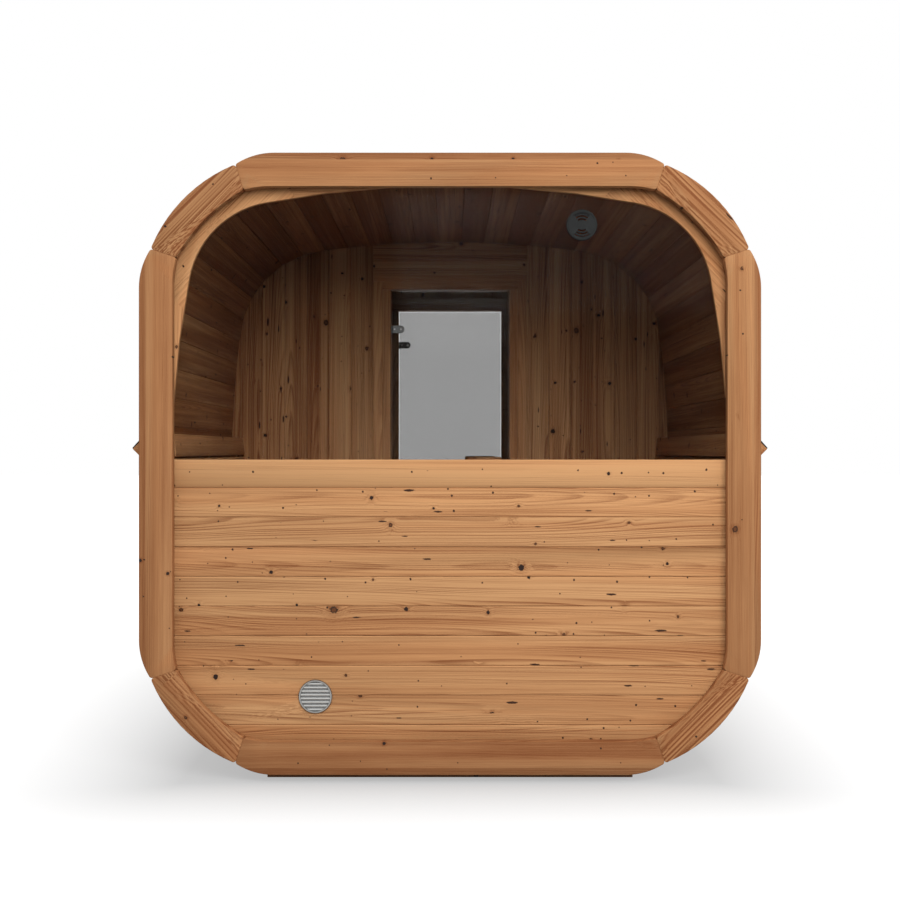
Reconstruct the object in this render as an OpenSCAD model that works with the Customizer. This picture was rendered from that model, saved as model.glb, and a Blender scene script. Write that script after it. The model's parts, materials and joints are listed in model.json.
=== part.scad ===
// Outdoor sauna cabin: a rounded square tube of flat staves between two timber rings.
// Millimetres. X to the right, Y from the windowed rear end to the front, Z up.
// The origin is on the ground, under the middle of the cabin.

/* [Body] */
// Length over both rings
body_l = 3000; // [2600:10:3400]
// Height of the rings' underside above the ground
ring_lift = 30; // [25:1:50]
// Half of the inside width of the tube, at the middle of a side
shell_half = 1097; // [1080:1:1105]
// Radius of the slightly bulging sides, inside
shell_side_r = 4850; // [4000:50:6000]
// Radius of the corners, inside
shell_corner_r = 473; // [430:1:520]
// Thickness of a stave
stave_t = 42; // [36:1:48]
// Number of staves round the tube, an odd number so that one is at the top
stave_count = 67; // [61:2:71]
// Joint gap between two staves or boards
joint_gap = 0.5; // [0.3:0.1:0.8]
// Chamfer on the edges of staves and boards
board_chamfer = 2.5; // [1:0.5:4]
// Length of the tongue on a stave or board
tongue_l = 7; // [4:1:9]

/* [Rings] */
// Thickness of the ring timbers, along the cabin
ring_t = 40; // [30:1:50]
// How far a ring stands out of the staves
ring_out = 11; // [6:1:26]
// Width of the straight ring timbers
beam_w = 124; // [115:1:130]
// Radius at the shoulders of the straight timbers, outside
shoulder_r = 260; // [200:10:270]
// Radius at the shoulders of the straight timbers, inside
shoulder_in_r = 330; // [200:10:360]
// Radius of the corner timbers, outside
corner_out_r = 563; // [450:1:570]
// Radius of the corner timbers, inside
corner_in_r = 660; // [500:10:680]
// Rounding beside the notches where two ring timbers meet
notch_r = 11; // [4:1:12]

/* [Roofing] */
// Thickness of the roofing on the upper half
roofing_t = 5; // [3:1:8]
// Height of the drip battens above the middle of the tube
batten_up = 55; // [40:1:70]
// How far a drip batten stands out of the staves
batten_out = 43; // [36:1:50]
// Thickness of the roofing where it covers a batten
lap_t = 4; // [3:1:5]

/* [Bearers] */
// Distance of a bearer's end from the inside of the side, across the cabin
bearer_end_in = 410; // [377:1:497]
// Width of a bearer, along the cabin
bearer_w = 95; // [70:1:120]
// Distance from the end of the cabin to the first bearer
bearer_in = 92; // [60:1:140]
// Height of a bearer's cut ends above the lowest stave
bearer_end_up = 55; // [44:1:59]

/* [End walls] */
// Thickness of the wall boards
wall_t = 42; // [38:1:48]
// How far the end walls sit inside the ends of the staves
wall_in = 20; // [15:1:30]
// Width that one wall board covers
board_w = 111; // [100:1:120]
// Height of the top of the sill rail above the middle of the tube
sill_up = 15; // [-30:1:50]
// Height of the sill rail
sill_h = 104; // [90:1:115]
// How far the sill rail stands out of the boards
sill_out = 9; // [4:1:14]
// Height of the sloping drip edge under the sill rail
sill_drip = 14; // [8:1:18]

/* [Rear window] */
// Width of the window frame at the middle of a side
window_frame_w = 56; // [47:1:67]
// Radius of the window opening's sides
window_side_r = 3700; // [3300:50:4200]
// Radius of the window opening's corners
window_corner_r = 352; // [330:1:380]
// Thickness of the window frame
window_frame_t = 22; // [18:1:26]
// Thickness of the panes
glass_t = 8; // [6:1:10]
// How far the pane reaches behind the window frame
glass_lap = 18; // [12:1:24]
// How much larger the inner bead's opening is than the window's
bead_back = 10; // [6:1:14]

/* [Vents] */
// Diameter of the wall grille
grille_d = 127; // [115:1:140]
// Distance of the wall grille's middle from the left side
grille_side = 594; // [537:1:647]
// Height of the wall grille's middle above the bottom of the inside
grille_up = 227; // [207:1:247]
// Thickness of the wall grille
grille_t = 9; // [7:1:11]
// Width of the wall grille's rim
grille_rim = 9; // [7:1:11]
// Number of louvres in the wall grille
louvre_count = 8; // [6:1:9]
// Diameter of the hole through the wall behind the grille
duct_d = 100; // [90:1:104]
// Diameter of the window vent
vent_d = 116; // [108:1:125]
// Distance of the window vent's middle from the right side
vent_side = 602; // [557:1:647]
// Distance of the window vent's middle below the top of the inside
vent_down = 201; // [187:1:227]
// Thickness of the window vent's flange
vent_t = 7; // [6:1:9]
// Diameter of the hole that the window vent sits in
vent_hole_d = 96; // [90:1:98]

/* [Doors] */
// Distance from the rear end of the cabin to the partition
partition_y = 1840; // [1700:10:1950]
// Clear width of a doorway
door_w = 597; // [570:1:620]
// Distance of a doorway's top below the top of the inside
door_down = 239; // [227:1:277]
// Width of the jambs
jamb_w = 41; // [36:1:46]
// How far the jambs stand out of the boards, on each side
jamb_out = 14; // [11:1:15]
// Width of the posts beside the jambs
post_w = 47; // [42:1:52]
// How far the posts stand out of the boards, on each side
post_out = 8; // [5:1:10]
// Height of the rail over the head
head_rail_h = 31; // [26:1:36]
// Height of the lower board over a doorway
header_board_h = 80; // [70:1:86]
// Running gap round a glass door
door_gap = 6; // [5.5:0.5:8]
// How far a glass door's face lies behind the jambs' face
door_back = 6; // [4:1:8]

/* [Door hardware] */
// Length of a hinge plate on the glass
hinge_l = 62; // [55:1:70]
// Height of a hinge
hinge_h = 38; // [34:1:42]
// Thickness of a hinge plate
hinge_t = 5; // [4:0.5:6]
// Radius of a hinge knuckle
knuckle_r = 7; // [6:0.5:7.5]
// Radius of a hinge pin
pin_r = 3; // [2.5:0.5:4]
// Distance from a door's top or bottom edge to the middle of its hinge
hinge_in = 190; // [150:5:250]
// Length of a door handle
handle_l = 173; // [150:1:190]
// Height of the top of a door handle above the floor
handle_up = 1036; // [990:1:1070]
// Height of a handle's bar
handle_h = 38; // [30:1:50]
// Thickness of a handle's bar
handle_t = 20; // [16:1:24]
// Space between a handle's bar and the glass
handle_gap = 25; // [22:1:26]
// Distance of a handle's middle from the doorway's side
handle_in = 124.5; // [109.5:0.5:149.5]
// Diameter of a handle's posts
handle_post_d = 18; // [14:1:20]

/* [Floor and benches] */
// Height of the floor's top above the bottom of the inside
floor_up = 77; // [67:1:87]
// Width of a floor board
deck_w = 95; // [80:1:110]
// Thickness of a floor board
deck_t = 28; // [24:1:32]
// Gap between floor boards
deck_gap = 6; // [4:1:8]
// Width of a floor joist
joist_w = 45; // [38:1:55]
// Height of a bench above the floor
bench_h = 450; // [400:5:500]
// Distance from the inside of a side to a bench's front edge
bench_depth = 597; // [557:1:627]
// Width of a bench slat
slat_w = 88; // [80:1:95]
// Number of slats in a bench
slat_count = 6; // [4:1:6]
// Gap between bench slats
slat_gap = 8; // [6:1:10]
// Thickness of a slat
slat_t = 28; // [24:1:32]
// Height of the rail under the bench slats
bench_rail_h = 70; // [55:1:80]
// Width of the bench frame's legs
leg_w = 45; // [40:1:55]
// Height of the top of a backrest above the bench
backrest_up = 682; // [660:1:700]
// Distance of a backrest's top edge from the inside of the side
backrest_in = 56; // [51:1:67]
// Height of a backrest slat
backrest_slat = 86; // [80:1:92]
// Number of backrest slats
backrest_count = 3; // [2:1:3]
// Lean of a backrest, in degrees
backrest_lean = 5.9; // [4:0.1:8]

/* [Hidden] */

$fn = 48;
wood = [0.72, 0.47, 0.27];
light_wood = [0.80, 0.56, 0.34];
dark_wood = [0.55, 0.36, 0.22];
black = [0.10, 0.10, 0.10];
dark_grey = [0.25, 0.26, 0.26];
metal = [0.75, 0.76, 0.77];
tint = [0.35, 0.38, 0.38, 0.5];

// Clearance of what seats on the staves, inside or outside
seat_play = 0.3;

// Sizes of the tube, and places up and across that follow from it
shell_out = shell_half + stave_t;
ring_half = shell_out + ring_out;
centre_z = ring_half + ring_lift;
shell_low_z = centre_z - shell_half;
shell_high_z = centre_z + shell_half;
floor_z = shell_low_z + floor_up;
door_top = shell_high_z - door_down;
sill_z = centre_z + sill_up;
sill_low_z = sill_z - sill_h;
window_half = shell_half - window_frame_w;

// Places along the cabin
end_y = body_l / 2;
stave_end_y = end_y - ring_t;
rear_wall_y = -stave_end_y + wall_in;
room_y = rear_wall_y + wall_t;
partition_from = partition_y - end_y;
partition_to = partition_from + wall_t;
front_wall_to = stave_end_y - wall_in;
front_wall_from = front_wall_to - wall_t;

// The corner arc's centre lies on the diagonal and touches both side arcs
function corner_centre(half, side_r, corner_r) =
    let (k = side_r - half, m = side_r - corner_r) (sqrt(2 * m * m - k * k) - k) / 2;
// Angle, from the middle of a side, at which the side arc ends
function side_angle(half, side_r, corner_r) =
    let (c = corner_centre(half, side_r, corner_r)) atan2(c, c + side_r - half);

shell_c = corner_centre(shell_half, shell_side_r, shell_corner_r);
shell_angle = side_angle(shell_half, shell_side_r, shell_corner_r);
side_run = shell_side_r * shell_angle * PI / 180;
corner_run = shell_corner_r * (90 - 2 * shell_angle) * PI / 180;
quarter_run = 2 * side_run + corner_run;
pitch = 4 * quarter_run / stave_count;

function unit(v) = v / norm(v);
function turned(p, a) = [p[0] * cos(a) + p[1] * sin(a), p[1] * cos(a) - p[0] * sin(a)];
function mirrored(points) = [for (k = [len(points) - 1:-1:0])
    concat([-points[k][0]], [for (n = [1:len(points[k]) - 1]) points[k][n]])];

// Direction of the shell's outward normal, as an angle from the top, at run s round the inside
function shell_turn(s) =
    let (quarter = floor(s / quarter_run), u = s - quarter * quarter_run)
    90 * quarter + (
        u < side_run ? u / shell_side_r * 180 / PI :
        u < side_run + corner_run ? shell_angle + (u - side_run) / shell_corner_r * 180 / PI :
        90 - (quarter_run - u) / shell_side_r * 180 / PI);
// Point at run s, d outside the inner face
function shell_point(s, d) =
    let (quarter = floor(s / quarter_run), u = s - quarter * quarter_run,
         a = shell_turn(s) - 90 * quarter, k = shell_side_r - shell_half)
    turned(
        u < side_run ? (shell_side_r + d) * [sin(a), cos(a)] - [0, k] :
        u < side_run + corner_run ? [shell_c, shell_c] + (shell_corner_r + d) * [sin(a), cos(a)] :
        (shell_side_r + d) * [sin(a), cos(a)] - [k, 0], 90 * quarter);

// Seam j lies between stave j - 1 and stave j
function seam_run(j) = (j - 0.5) * pitch;
function seam_point(j, d) = shell_point(seam_run(j), d);
// Point u along the shell's tangent at seam j
function seam_side(j, u, d) = let (a = shell_turn(seam_run(j))) seam_point(j, d) + u * [cos(a), -sin(a)];
// Point u along stave i's own face, from its left seam, or from its right seam if u is negative
function face_point(i, u, d) =
    let (left = seam_point(i, d), right = seam_point(i + 1, d), along = unit(right - left))
    (u > 0 ? left : right) + along * u;
function shell_outline(d) = [for (j = [0:stave_count - 1]) seam_point(j, d)];

// Outline of one stave, with a tongue on its right edge and a groove in its left edge
tongue_from = 0.38;
tongue_to = 0.62;
groove_play = 0.5;
function stave_outline(i) =
    let (g = joint_gap / 2, c = board_chamfer, t = stave_t,
         lo = tongue_from * t, hi = tongue_to * t, p = groove_play)
    [face_point(i, c, 0), face_point(i, -c, 0), seam_side(i + 1, -g, c),
     seam_side(i + 1, -g, lo), seam_side(i + 1, tongue_l, lo + p),
     seam_side(i + 1, tongue_l, hi - p), seam_side(i + 1, -g, hi),
     seam_side(i + 1, -g, t - c), face_point(i, -c, t), face_point(i, c, t),
     seam_side(i, g, t - c), seam_side(i, g, hi + p), seam_side(i, tongue_l + p, hi + p),
     seam_side(i, tongue_l + p, lo - p), seam_side(i, g, lo - p), seam_side(i, g, c)];

// Arc that rounds corner b, between its neighbours a and c
fine_step = 4;
coarse_step = 20;
function rounded_corner(a, b, c, r) =
    let (u = unit(a - b), v = unit(c - b), half = acos(u * v) / 2,
         centre = b + unit(u + v) * r / sin(half), first = b + u * r / tan(half) - centre,
         turn = (180 - 2 * half) * (cross(u, v) > 0 ? 1 : -1),
         steps = ceil(abs(turn) / (r > 100 ? fine_step : coarse_step)))
    [for (k = [0:steps]) centre + turned(first, turn * k / steps)];
// Outline whose points are [x, z, radius]
function rounded(points) =
    let (n = len(points), flat = [for (p = points) [p[0], p[1]]])
    [for (k = [0:n - 1]) each points[k][2] == 0 ? [flat[k]] :
        rounded_corner(flat[(k + n - 1) % n], flat[k], flat[(k + 1) % n], points[k][2])];

// Ring timbers: the joint between a straight timber and a corner timber, and their shoulders
joint_along = 356;
joint_across = 43;
joint_in_along = 387;
joint_in_across = 13;
shoulder_along = 428;
shoulder_in_along = 450;
corner_out_up = 90.6;
corner_in_up = 1.1;
shell_diagonal = sqrt(2) * shell_c + shell_corner_r;
joint_out = [ring_half - joint_along, ring_half - joint_across];
joint_in = [ring_half - joint_in_along, ring_half - beam_w - joint_in_across];
shoulder_out_x = ring_half - shoulder_along;
shoulder_in_x = ring_half - shoulder_in_along;
corner_out = (shell_diagonal + stave_t + corner_out_up) / sqrt(2);
corner_in = (shell_diagonal + corner_in_up) / sqrt(2);
beam_half = [
    [shoulder_in_x, ring_half - beam_w, shoulder_in_r], concat(joint_in, [notch_r]),
    concat(joint_out, [notch_r]), [shoulder_out_x, ring_half, shoulder_r]];
function swapped(p) = [p[1], p[0]];
corner_points = [
    concat(joint_out, [notch_r]), [corner_out, corner_out, corner_out_r],
    concat(swapped(joint_out), [notch_r]), concat(swapped(joint_in), [notch_r]),
    [corner_in, corner_in, corner_in_r], concat(joint_in, [notch_r])];

// Carries an outline in X and Z along the cabin, from one place to another
module along_y(from, to) {
    translate([0, to, 0]) rotate([90, 0, 0]) linear_extrude(to - from) children();
}
// The same for an outline measured from the middle of the tube
module along_tube(from, to) {
    translate([0, 0, centre_z]) along_y(from, to) children();
}
module inside_shell(from, to) {
    along_tube(from, to) polygon(shell_outline(-seat_play));
}

module straight_timber(from, quarter) {
    along_tube(from, from + ring_t) rotate(90 * quarter)
        polygon(rounded(concat(beam_half, mirrored(beam_half))));
}
module ring_side_beams(from) {
    color(wood) for (quarter = [1, 3]) straight_timber(from, quarter);
}
module ring_corner_timbers(from) {
    color(light_wood) for (quarter = [0:3])
        along_tube(from, from + ring_t) rotate(90 * quarter) polygon(rounded(corner_points));
}
module rear_ring_top_beam() { color(wood) straight_timber(-end_y, 0); }
module rear_ring_bottom_beam() { color(wood) straight_timber(-end_y, 2); }
module rear_ring_side_beams() { ring_side_beams(-end_y); }
module rear_ring_corner_timbers() { ring_corner_timbers(-end_y); }
module front_ring_top_beam() { color(wood) straight_timber(stave_end_y, 0); }
module front_ring_bottom_beam() { color(wood) straight_timber(stave_end_y, 2); }
module front_ring_side_beams() { ring_side_beams(stave_end_y); }
module front_ring_corner_timbers() { ring_corner_timbers(stave_end_y); }

// A stave belongs to the side or the corner where its middle lies
function stave_middle(i) = shell_turn(i * pitch);
function on_side(i, quarter) = abs(stave_middle(i) - 90 * quarter) <= shell_angle ||
    (quarter == 0 && stave_middle(i) >= 360 - shell_angle);
function in_corner(i, quarter) = stave_middle(i) > 90 * quarter + shell_angle &&
    stave_middle(i) < 90 * (quarter + 1) - shell_angle;
module stave(i) {
    along_tube(-stave_end_y, stave_end_y) polygon(stave_outline(i));
}
module side_staves(quarter) {
    color(wood) for (i = [0:stave_count - 1]) if (on_side(i, quarter)) stave(i);
}
module corner_staves(quarters) {
    color(wood) for (i = [0:stave_count - 1], quarter = quarters)
        if (in_corner(i, quarter)) stave(i);
}
module roof_staves() { side_staves(0); }
module right_side_staves() { side_staves(1); }
module floor_staves() { side_staves(2); }
module left_side_staves() { side_staves(3); }
module upper_corner_staves() { corner_staves([0, 3]); }
module lower_corner_staves() { corner_staves([1, 2]); }

// Drip battens: three-cornered, with their flat base on the staves
batten_tip = shell_out + batten_out;
module batten_outline() {
    difference() {
        polygon([[batten_tip, batten_up], [batten_tip - 2 * batten_out, batten_up + 2 * batten_out],
                 [batten_tip - 2 * batten_out, batten_up - 2 * batten_out]]);
        polygon(shell_outline(stave_t + seat_play));
    }
}
module drip_battens() {
    color(dark_wood) for (side = [0, 1]) along_tube(-stave_end_y, stave_end_y)
        mirror([side, 0]) batten_outline();
}
// Roofing: one skin over the upper half, which laps over the upper face of each batten
lap_low = batten_up + seat_play * sqrt(2);
lap_high = lap_low + lap_t * sqrt(2);
roofing_in = stave_t + seat_play;
// Right half of the outline d outside the inner face, from the top down to where x + z = s
function last_seam(d, s) = max([for (j = [1:ceil(quarter_run / pitch)])
    if (seam_point(j, d) * [1, 1] > s) j]);
function down_to_slope(d, s) =
    let (last = last_seam(d, s), a = seam_point(last, d), b = seam_point(last + 1, d))
    [each [for (j = [1:last]) seam_point(j, d)], a + (b - a) * (a * [1, 1] - s) / ((a - b) * [1, 1])];
module roofing() {
    inner = down_to_slope(roofing_in, batten_tip + lap_low);
    outer = down_to_slope(roofing_in + roofing_t, batten_tip + lap_high);
    half = concat(outer, [[batten_tip, lap_high], [batten_tip, lap_low]],
                  [for (k = [len(inner) - 1:-1:0]) inner[k]]);
    color(black) along_tube(-stave_end_y, stave_end_y) polygon(concat(half, mirrored(half)));
}

// Bearers: across the cabin, hollowed to the shell
bearer_half = shell_half - bearer_end_in;
bearer_end_h = centre_z - shell_out + bearer_end_up;
bearer_places = [-end_y + bearer_in, -bearer_w / 2, end_y - bearer_in - bearer_w];
module bearers() {
    color(dark_wood) for (from = bearer_places) along_y(from, from + bearer_w) difference() {
        translate([-bearer_half, 0]) square([2 * bearer_half, bearer_end_h]);
        translate([0, centre_z]) polygon(shell_outline(stave_t + seat_play));
    }
}

// Section of a board that covers from a to b, t thick: groove at a, tongue at b
function board_section(a, b, t, groove = true, tongue = true) =
    let (g = joint_gap / 2, c = board_chamfer, lo = tongue_from * t, hi = tongue_to * t,
         p = groove_play)
    [[0, a + g + c], [c, a + g],
     each groove ? [[lo - p, a + g], [lo - p, a + tongue_l + p],
                    [hi + p, a + tongue_l + p], [hi + p, a + g]] : [],
     [t - c, a + g], [t, a + g + c], [t, b - g - c], [t - c, b - g],
     each tongue ? [[hi, b - g], [hi - p, b + tongue_l], [lo + p, b + tongue_l], [lo, b - g]] : [],
     [c, b - g], [0, b - g - c]];
// The last board of a wall is cut from a wider one where less than this share of a board is left
last_share = 0.7;
// Boards lying across the cabin, one under another from z_to down to z_from
module flat_boards(face_y, x_from, x_to, z_from, z_to) {
    count = floor((z_to - z_from) / board_w + last_share);
    for (k = [0:count - 1]) intersection() {
        inside_shell(face_y - 1, face_y + wall_t + 1);
        translate([x_from, face_y, 0]) rotate([90, 0, 90]) linear_extrude(x_to - x_from)
            polygon(board_section(k < count - 1 ? z_to - (k + 1) * board_w : z_from, z_to - k * board_w,
                                  wall_t, k < count - 1, k > 0));
    }
}
// Standing boards from one place outwards, on the right side
module standing_boards(face_y, x_from, z_from, z_to) {
    count = floor((shell_half - x_from) / board_w + last_share);
    for (k = [0:count - 1]) intersection() {
        inside_shell(face_y - 1, face_y + wall_t + 1);
        translate([0, face_y, z_from]) linear_extrude(z_to - z_from)
            mirror([1, -1]) polygon(board_section(
                x_from + k * board_w, k < count - 1 ? x_from + (k + 1) * board_w : shell_half,
                wall_t, k > 0, k < count - 1));
    }
}

// Rear wall
grille_x = grille_side - shell_half;
grille_z = shell_low_z + grille_up;
module rear_wall_boards() {
    color(light_wood) difference() {
        flat_boards(rear_wall_y, -shell_half, shell_half, shell_low_z, sill_low_z);
        translate([grille_x, rear_wall_y - 1, grille_z]) rotate([-90, 0, 0])
            cylinder(h = wall_t + 2, d = duct_d);
    }
}
module rear_sill_rail() {
    color(light_wood) intersection() {
        inside_shell(rear_wall_y - sill_out - 1, room_y + 1);
        translate([-shell_half, rear_wall_y, 0]) rotate([90, 0, 90]) linear_extrude(2 * shell_half)
            polygon([[0, sill_low_z], [-sill_out, sill_low_z + sill_drip],
                     [-sill_out, sill_z - board_chamfer], [board_chamfer - sill_out, sill_z],
                     [wall_t, sill_z], [wall_t, sill_low_z]]);
    }
}
// Window opening: the same kind of rounded square as the shell, grown by a margin
arc_step = 5;
function arc_points(centre, r, from, to) =
    let (steps = ceil((to - from) / arc_step))
    [for (k = [0:steps]) centre + r * [sin(from + (to - from) * k / steps),
                                       cos(from + (to - from) * k / steps)]];
function window_quarter(grow) =
    let (half = window_half + grow, side_r = window_side_r + grow, corner_r = window_corner_r + grow,
         c = corner_centre(half, side_r, corner_r), a = side_angle(half, side_r, corner_r),
         k = side_r - half)
    concat(arc_points([0, -k], side_r, 0, a), arc_points([c, c], corner_r, a, 90 - a),
           arc_points([-k, 0], side_r, 90 - a, 90));
function window_outline(grow) =
    let (quarter = window_quarter(grow), n = len(quarter))
    concat(quarter, [[window_half + grow, -shell_half], [-window_half - grow, -shell_half]],
           [for (k = [n - 1:-1:1]) [-quarter[k][0], quarter[k][1]]]);
module above_sill() {
    intersection() {
        children();
        translate([-shell_half, sill_z - centre_z]) square([2 * shell_half, 2 * shell_half]);
    }
}
window_glass_y = rear_wall_y + window_frame_t;
module window_band(grow) {
    above_sill() difference() {
        polygon(shell_outline(-seat_play));
        polygon(window_outline(grow));
    }
}
module rear_window_frame() {
    color(wood) {
        along_tube(rear_wall_y, window_glass_y) window_band(0);
        along_tube(window_glass_y + glass_t, room_y) window_band(bead_back);
    }
}
module rear_window_glass() {
    color(tint) difference() {
        along_tube(window_glass_y, window_glass_y + glass_t)
            above_sill() polygon(window_outline(glass_lap));
        translate([vent_x, window_glass_y - 1, vent_z]) rotate([-90, 0, 0])
            cylinder(h = glass_t + 2, d = vent_hole_d);
    }
}

// Wall grille: a rim, a flange on the boards, a collar in the wall and level louvres
louvre_t = 1.6;
louvre_tilt = 32;
grille_seat = 3;
collar_l = 25;
collar_play = 0.3;
module grille_place() {
    translate([grille_x, rear_wall_y, grille_z]) rotate([90, 0, 0]) children();
}
module rear_wall_grille() {
    inner_d = grille_d - 2 * grille_rim;
    louvre_pitch = inner_d / louvre_count;
    color(metal) grille_place() {
        difference() {
            union() {
                cylinder(h = grille_t - 2, d = grille_d);
                translate([0, 0, grille_t - 2]) cylinder(h = 2, d1 = grille_d, d2 = grille_d - 4);
                translate([0, 0, -collar_l]) cylinder(h = collar_l, d = duct_d - 2 * collar_play);
            }
            translate([0, 0, grille_seat]) cylinder(h = grille_t, d = inner_d);
            translate([0, 0, -collar_l - 1]) cylinder(h = grille_t + collar_l, d = duct_d - 8);
        }
        intersection() {
            translate([0, 0, grille_seat]) cylinder(h = grille_t - grille_seat - 1, d = inner_d + 1);
            union() for (k = [0:louvre_count - 1])
                translate([0, (k + 0.5) * louvre_pitch - inner_d / 2, grille_t / 2 + 0.5])
                    rotate([louvre_tilt, 0, 0])
                        cube([inner_d + 2, louvre_pitch * 0.72, louvre_t], center = true);
        }
    }
}

// Window vent: a round plate on the glass with two fans of three curved slots
vent_x = shell_half - vent_side;
vent_z = shell_high_z - vent_down;
slot_angle = 72;
slot_w = 5;
slot_pitch = 10;
slot_first_r = 15;
vent_bead = 3;
vent_collar_play = 0.3;
module fan_slots(h) {
    for (fan = [0, 180], ring = [0:2]) rotate(fan + 90 - slot_angle / 2)
        rotate_extrude(angle = slot_angle)
            translate([slot_first_r + ring * slot_pitch, 0]) square([slot_w, h]);
}
module rear_window_vent() {
    color(dark_grey) translate([vent_x, window_glass_y, vent_z]) rotate([90, 0, 0]) difference() {
        union() {
            cylinder(h = vent_t - 2, d = vent_d);
            translate([0, 0, vent_t - 2]) cylinder(h = 2, d1 = vent_d, d2 = vent_d - 5);
            translate([0, 0, -glass_t]) cylinder(h = glass_t, d = vent_hole_d - 2 * vent_collar_play);
            translate([0, 0, -glass_t - vent_t]) cylinder(h = vent_t, d = vent_d);
        }
        translate([0, 0, -glass_t - vent_t - 1]) cylinder(h = glass_t + vent_t - 1, d = vent_hole_d - 8);
        translate([0, 0, -glass_t]) fan_slots(glass_t + vent_t + 1);
    }
}

// Walls with a doorway
leaf_w = door_w - 2 * door_gap;
leaf_low_z = floor_z + door_gap;
leaf_high_z = door_top - door_gap;
post_from = door_w / 2 + jamb_w;
post_to = post_from + post_w;
head_top = door_top + jamb_w;
head_rail_top = head_top + head_rail_h;
module partition_right_boards() {
    color(wood) standing_boards(partition_from, post_to, shell_low_z, shell_high_z);
}
module partition_left_boards() { mirror([1, 0, 0]) partition_right_boards(); }
module partition_over_door() {
    color(wood) flat_boards(partition_from, -post_to, post_to, head_rail_top,
                            head_rail_top + header_board_h + board_w);
}
module front_wall_right_boards() {
    color(wood) standing_boards(front_wall_from, post_to, shell_low_z, shell_high_z);
}
module front_wall_left_boards() { mirror([1, 0, 0]) front_wall_right_boards(); }
module front_wall_over_door() {
    color(wood) flat_boards(front_wall_from, -post_to, post_to, head_rail_top,
                            head_rail_top + header_board_h + board_w);
}
// Door frame: jambs, posts beside them, head, rail over it and sill, each a piece by itself
module frame_member(x, z, w, h, from, out) {
    intersection() {
        inside_shell(from - out - 1, from + wall_t + out + 1);
        translate([x + joint_gap / 2, from - out, z + joint_gap / 2])
            cube([w - joint_gap, wall_t + 2 * out, h - joint_gap]);
    }
}
module door_frame(from) {
    color(light_wood) {
        for (side = [0, 1]) mirror([side, 0, 0]) {
            frame_member(door_w / 2 - joint_gap / 2, floor_z, jamb_w, door_top - floor_z, from, jamb_out);
            frame_member(post_from, shell_low_z, post_w, head_top - shell_low_z, from, post_out);
        }
        frame_member(-post_from, door_top, 2 * post_from, jamb_w, from, jamb_out);
        frame_member(-post_to, head_top, 2 * post_to, head_rail_h, from, post_out);
        frame_member(-post_from, shell_low_z, 2 * post_from, floor_z - shell_low_z, from, jamb_out);
    }
}
module inner_door_frame() { door_frame(partition_from); }
module outer_door_frame() { door_frame(front_wall_from); }

// Glass doors: the pane hangs on two hinges at the left, whose pins stand before the jambs' face
leaf_x = -leaf_w / 2;
pin_out = knuckle_r + 1.5;
function frame_face(from) = from + wall_t + jamb_out;
function leaf_face(from) = frame_face(from) - door_back;
function pin_y(from) = frame_face(from) + pin_out;
hinge_heights = [leaf_low_z + hinge_in, leaf_high_z - hinge_in];
knuckle_h = hinge_h / 3;
knuckle_play = 0.5;
pin_play = 0.05;
bracket_l = 34;
bracket_t = 4;
plate_in = 4;
module door_glass(from) {
    color(tint) translate([leaf_x, leaf_face(from) - glass_t, leaf_low_z])
        cube([leaf_w, glass_t, leaf_high_z - leaf_low_z]);
}
// A hinge's clamp: a plate on each face of the glass with a round end, and the middle knuckle
module hinge_plate(y) {
    along_y(y, y + hinge_t) {
        translate([leaf_x + plate_in, -hinge_h / 2])
            square([hinge_l - plate_in - hinge_h / 2, hinge_h]);
        translate([leaf_x + hinge_l - hinge_h / 2, 0]) circle(d = hinge_h);
    }
}
module hinge_clamp(from) {
    face = leaf_face(from);
    arm_h = knuckle_h - 2 * knuckle_play;
    hinge_plate(face);
    hinge_plate(face - glass_t - hinge_t);
    difference() {
        union() {
            translate([leaf_x, pin_y(from), -arm_h / 2]) cylinder(h = arm_h, r = knuckle_r);
            translate([leaf_x, face + hinge_t - 1, -arm_h / 2])
                cube([hinge_l / 3, pin_y(from) - face - hinge_t + 1, arm_h]);
        }
        translate([leaf_x, pin_y(from), -hinge_h]) cylinder(h = 2 * hinge_h, r = pin_r + pin_play);
    }
}
// A hinge's bracket: a plate on the jamb, the outer knuckles and the pin through all three
module hinge_bracket(from) {
    face = frame_face(from);
    difference() {
        union() {
            translate([leaf_x - door_gap - bracket_l, face, -hinge_h / 2])
                cube([bracket_l - 2, bracket_t, hinge_h]);
            for (side = [-1, 1]) translate([0, 0, side * knuckle_h - knuckle_h / 2]) {
                translate([leaf_x, pin_y(from), 0]) cylinder(h = knuckle_h, r = knuckle_r);
                translate([leaf_x - door_gap - 3, face + 1, 0])
                    cube([door_gap + 3, pin_y(from) - face - 1, knuckle_h]);
            }
        }
        translate([leaf_x, pin_y(from), -knuckle_h / 2])
            cylinder(h = knuckle_h, r = knuckle_r + 1.5);
    }
    translate([leaf_x, pin_y(from), -hinge_h / 2]) cylinder(h = hinge_h, r = pin_r);
}
module door_hinges(from) {
    color(dark_grey) for (z = hinge_heights) translate([0, 0, z]) hinge_clamp(from);
}
module door_brackets(from) {
    color(dark_grey) for (z = hinge_heights) translate([0, 0, z]) hinge_bracket(from);
}
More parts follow.
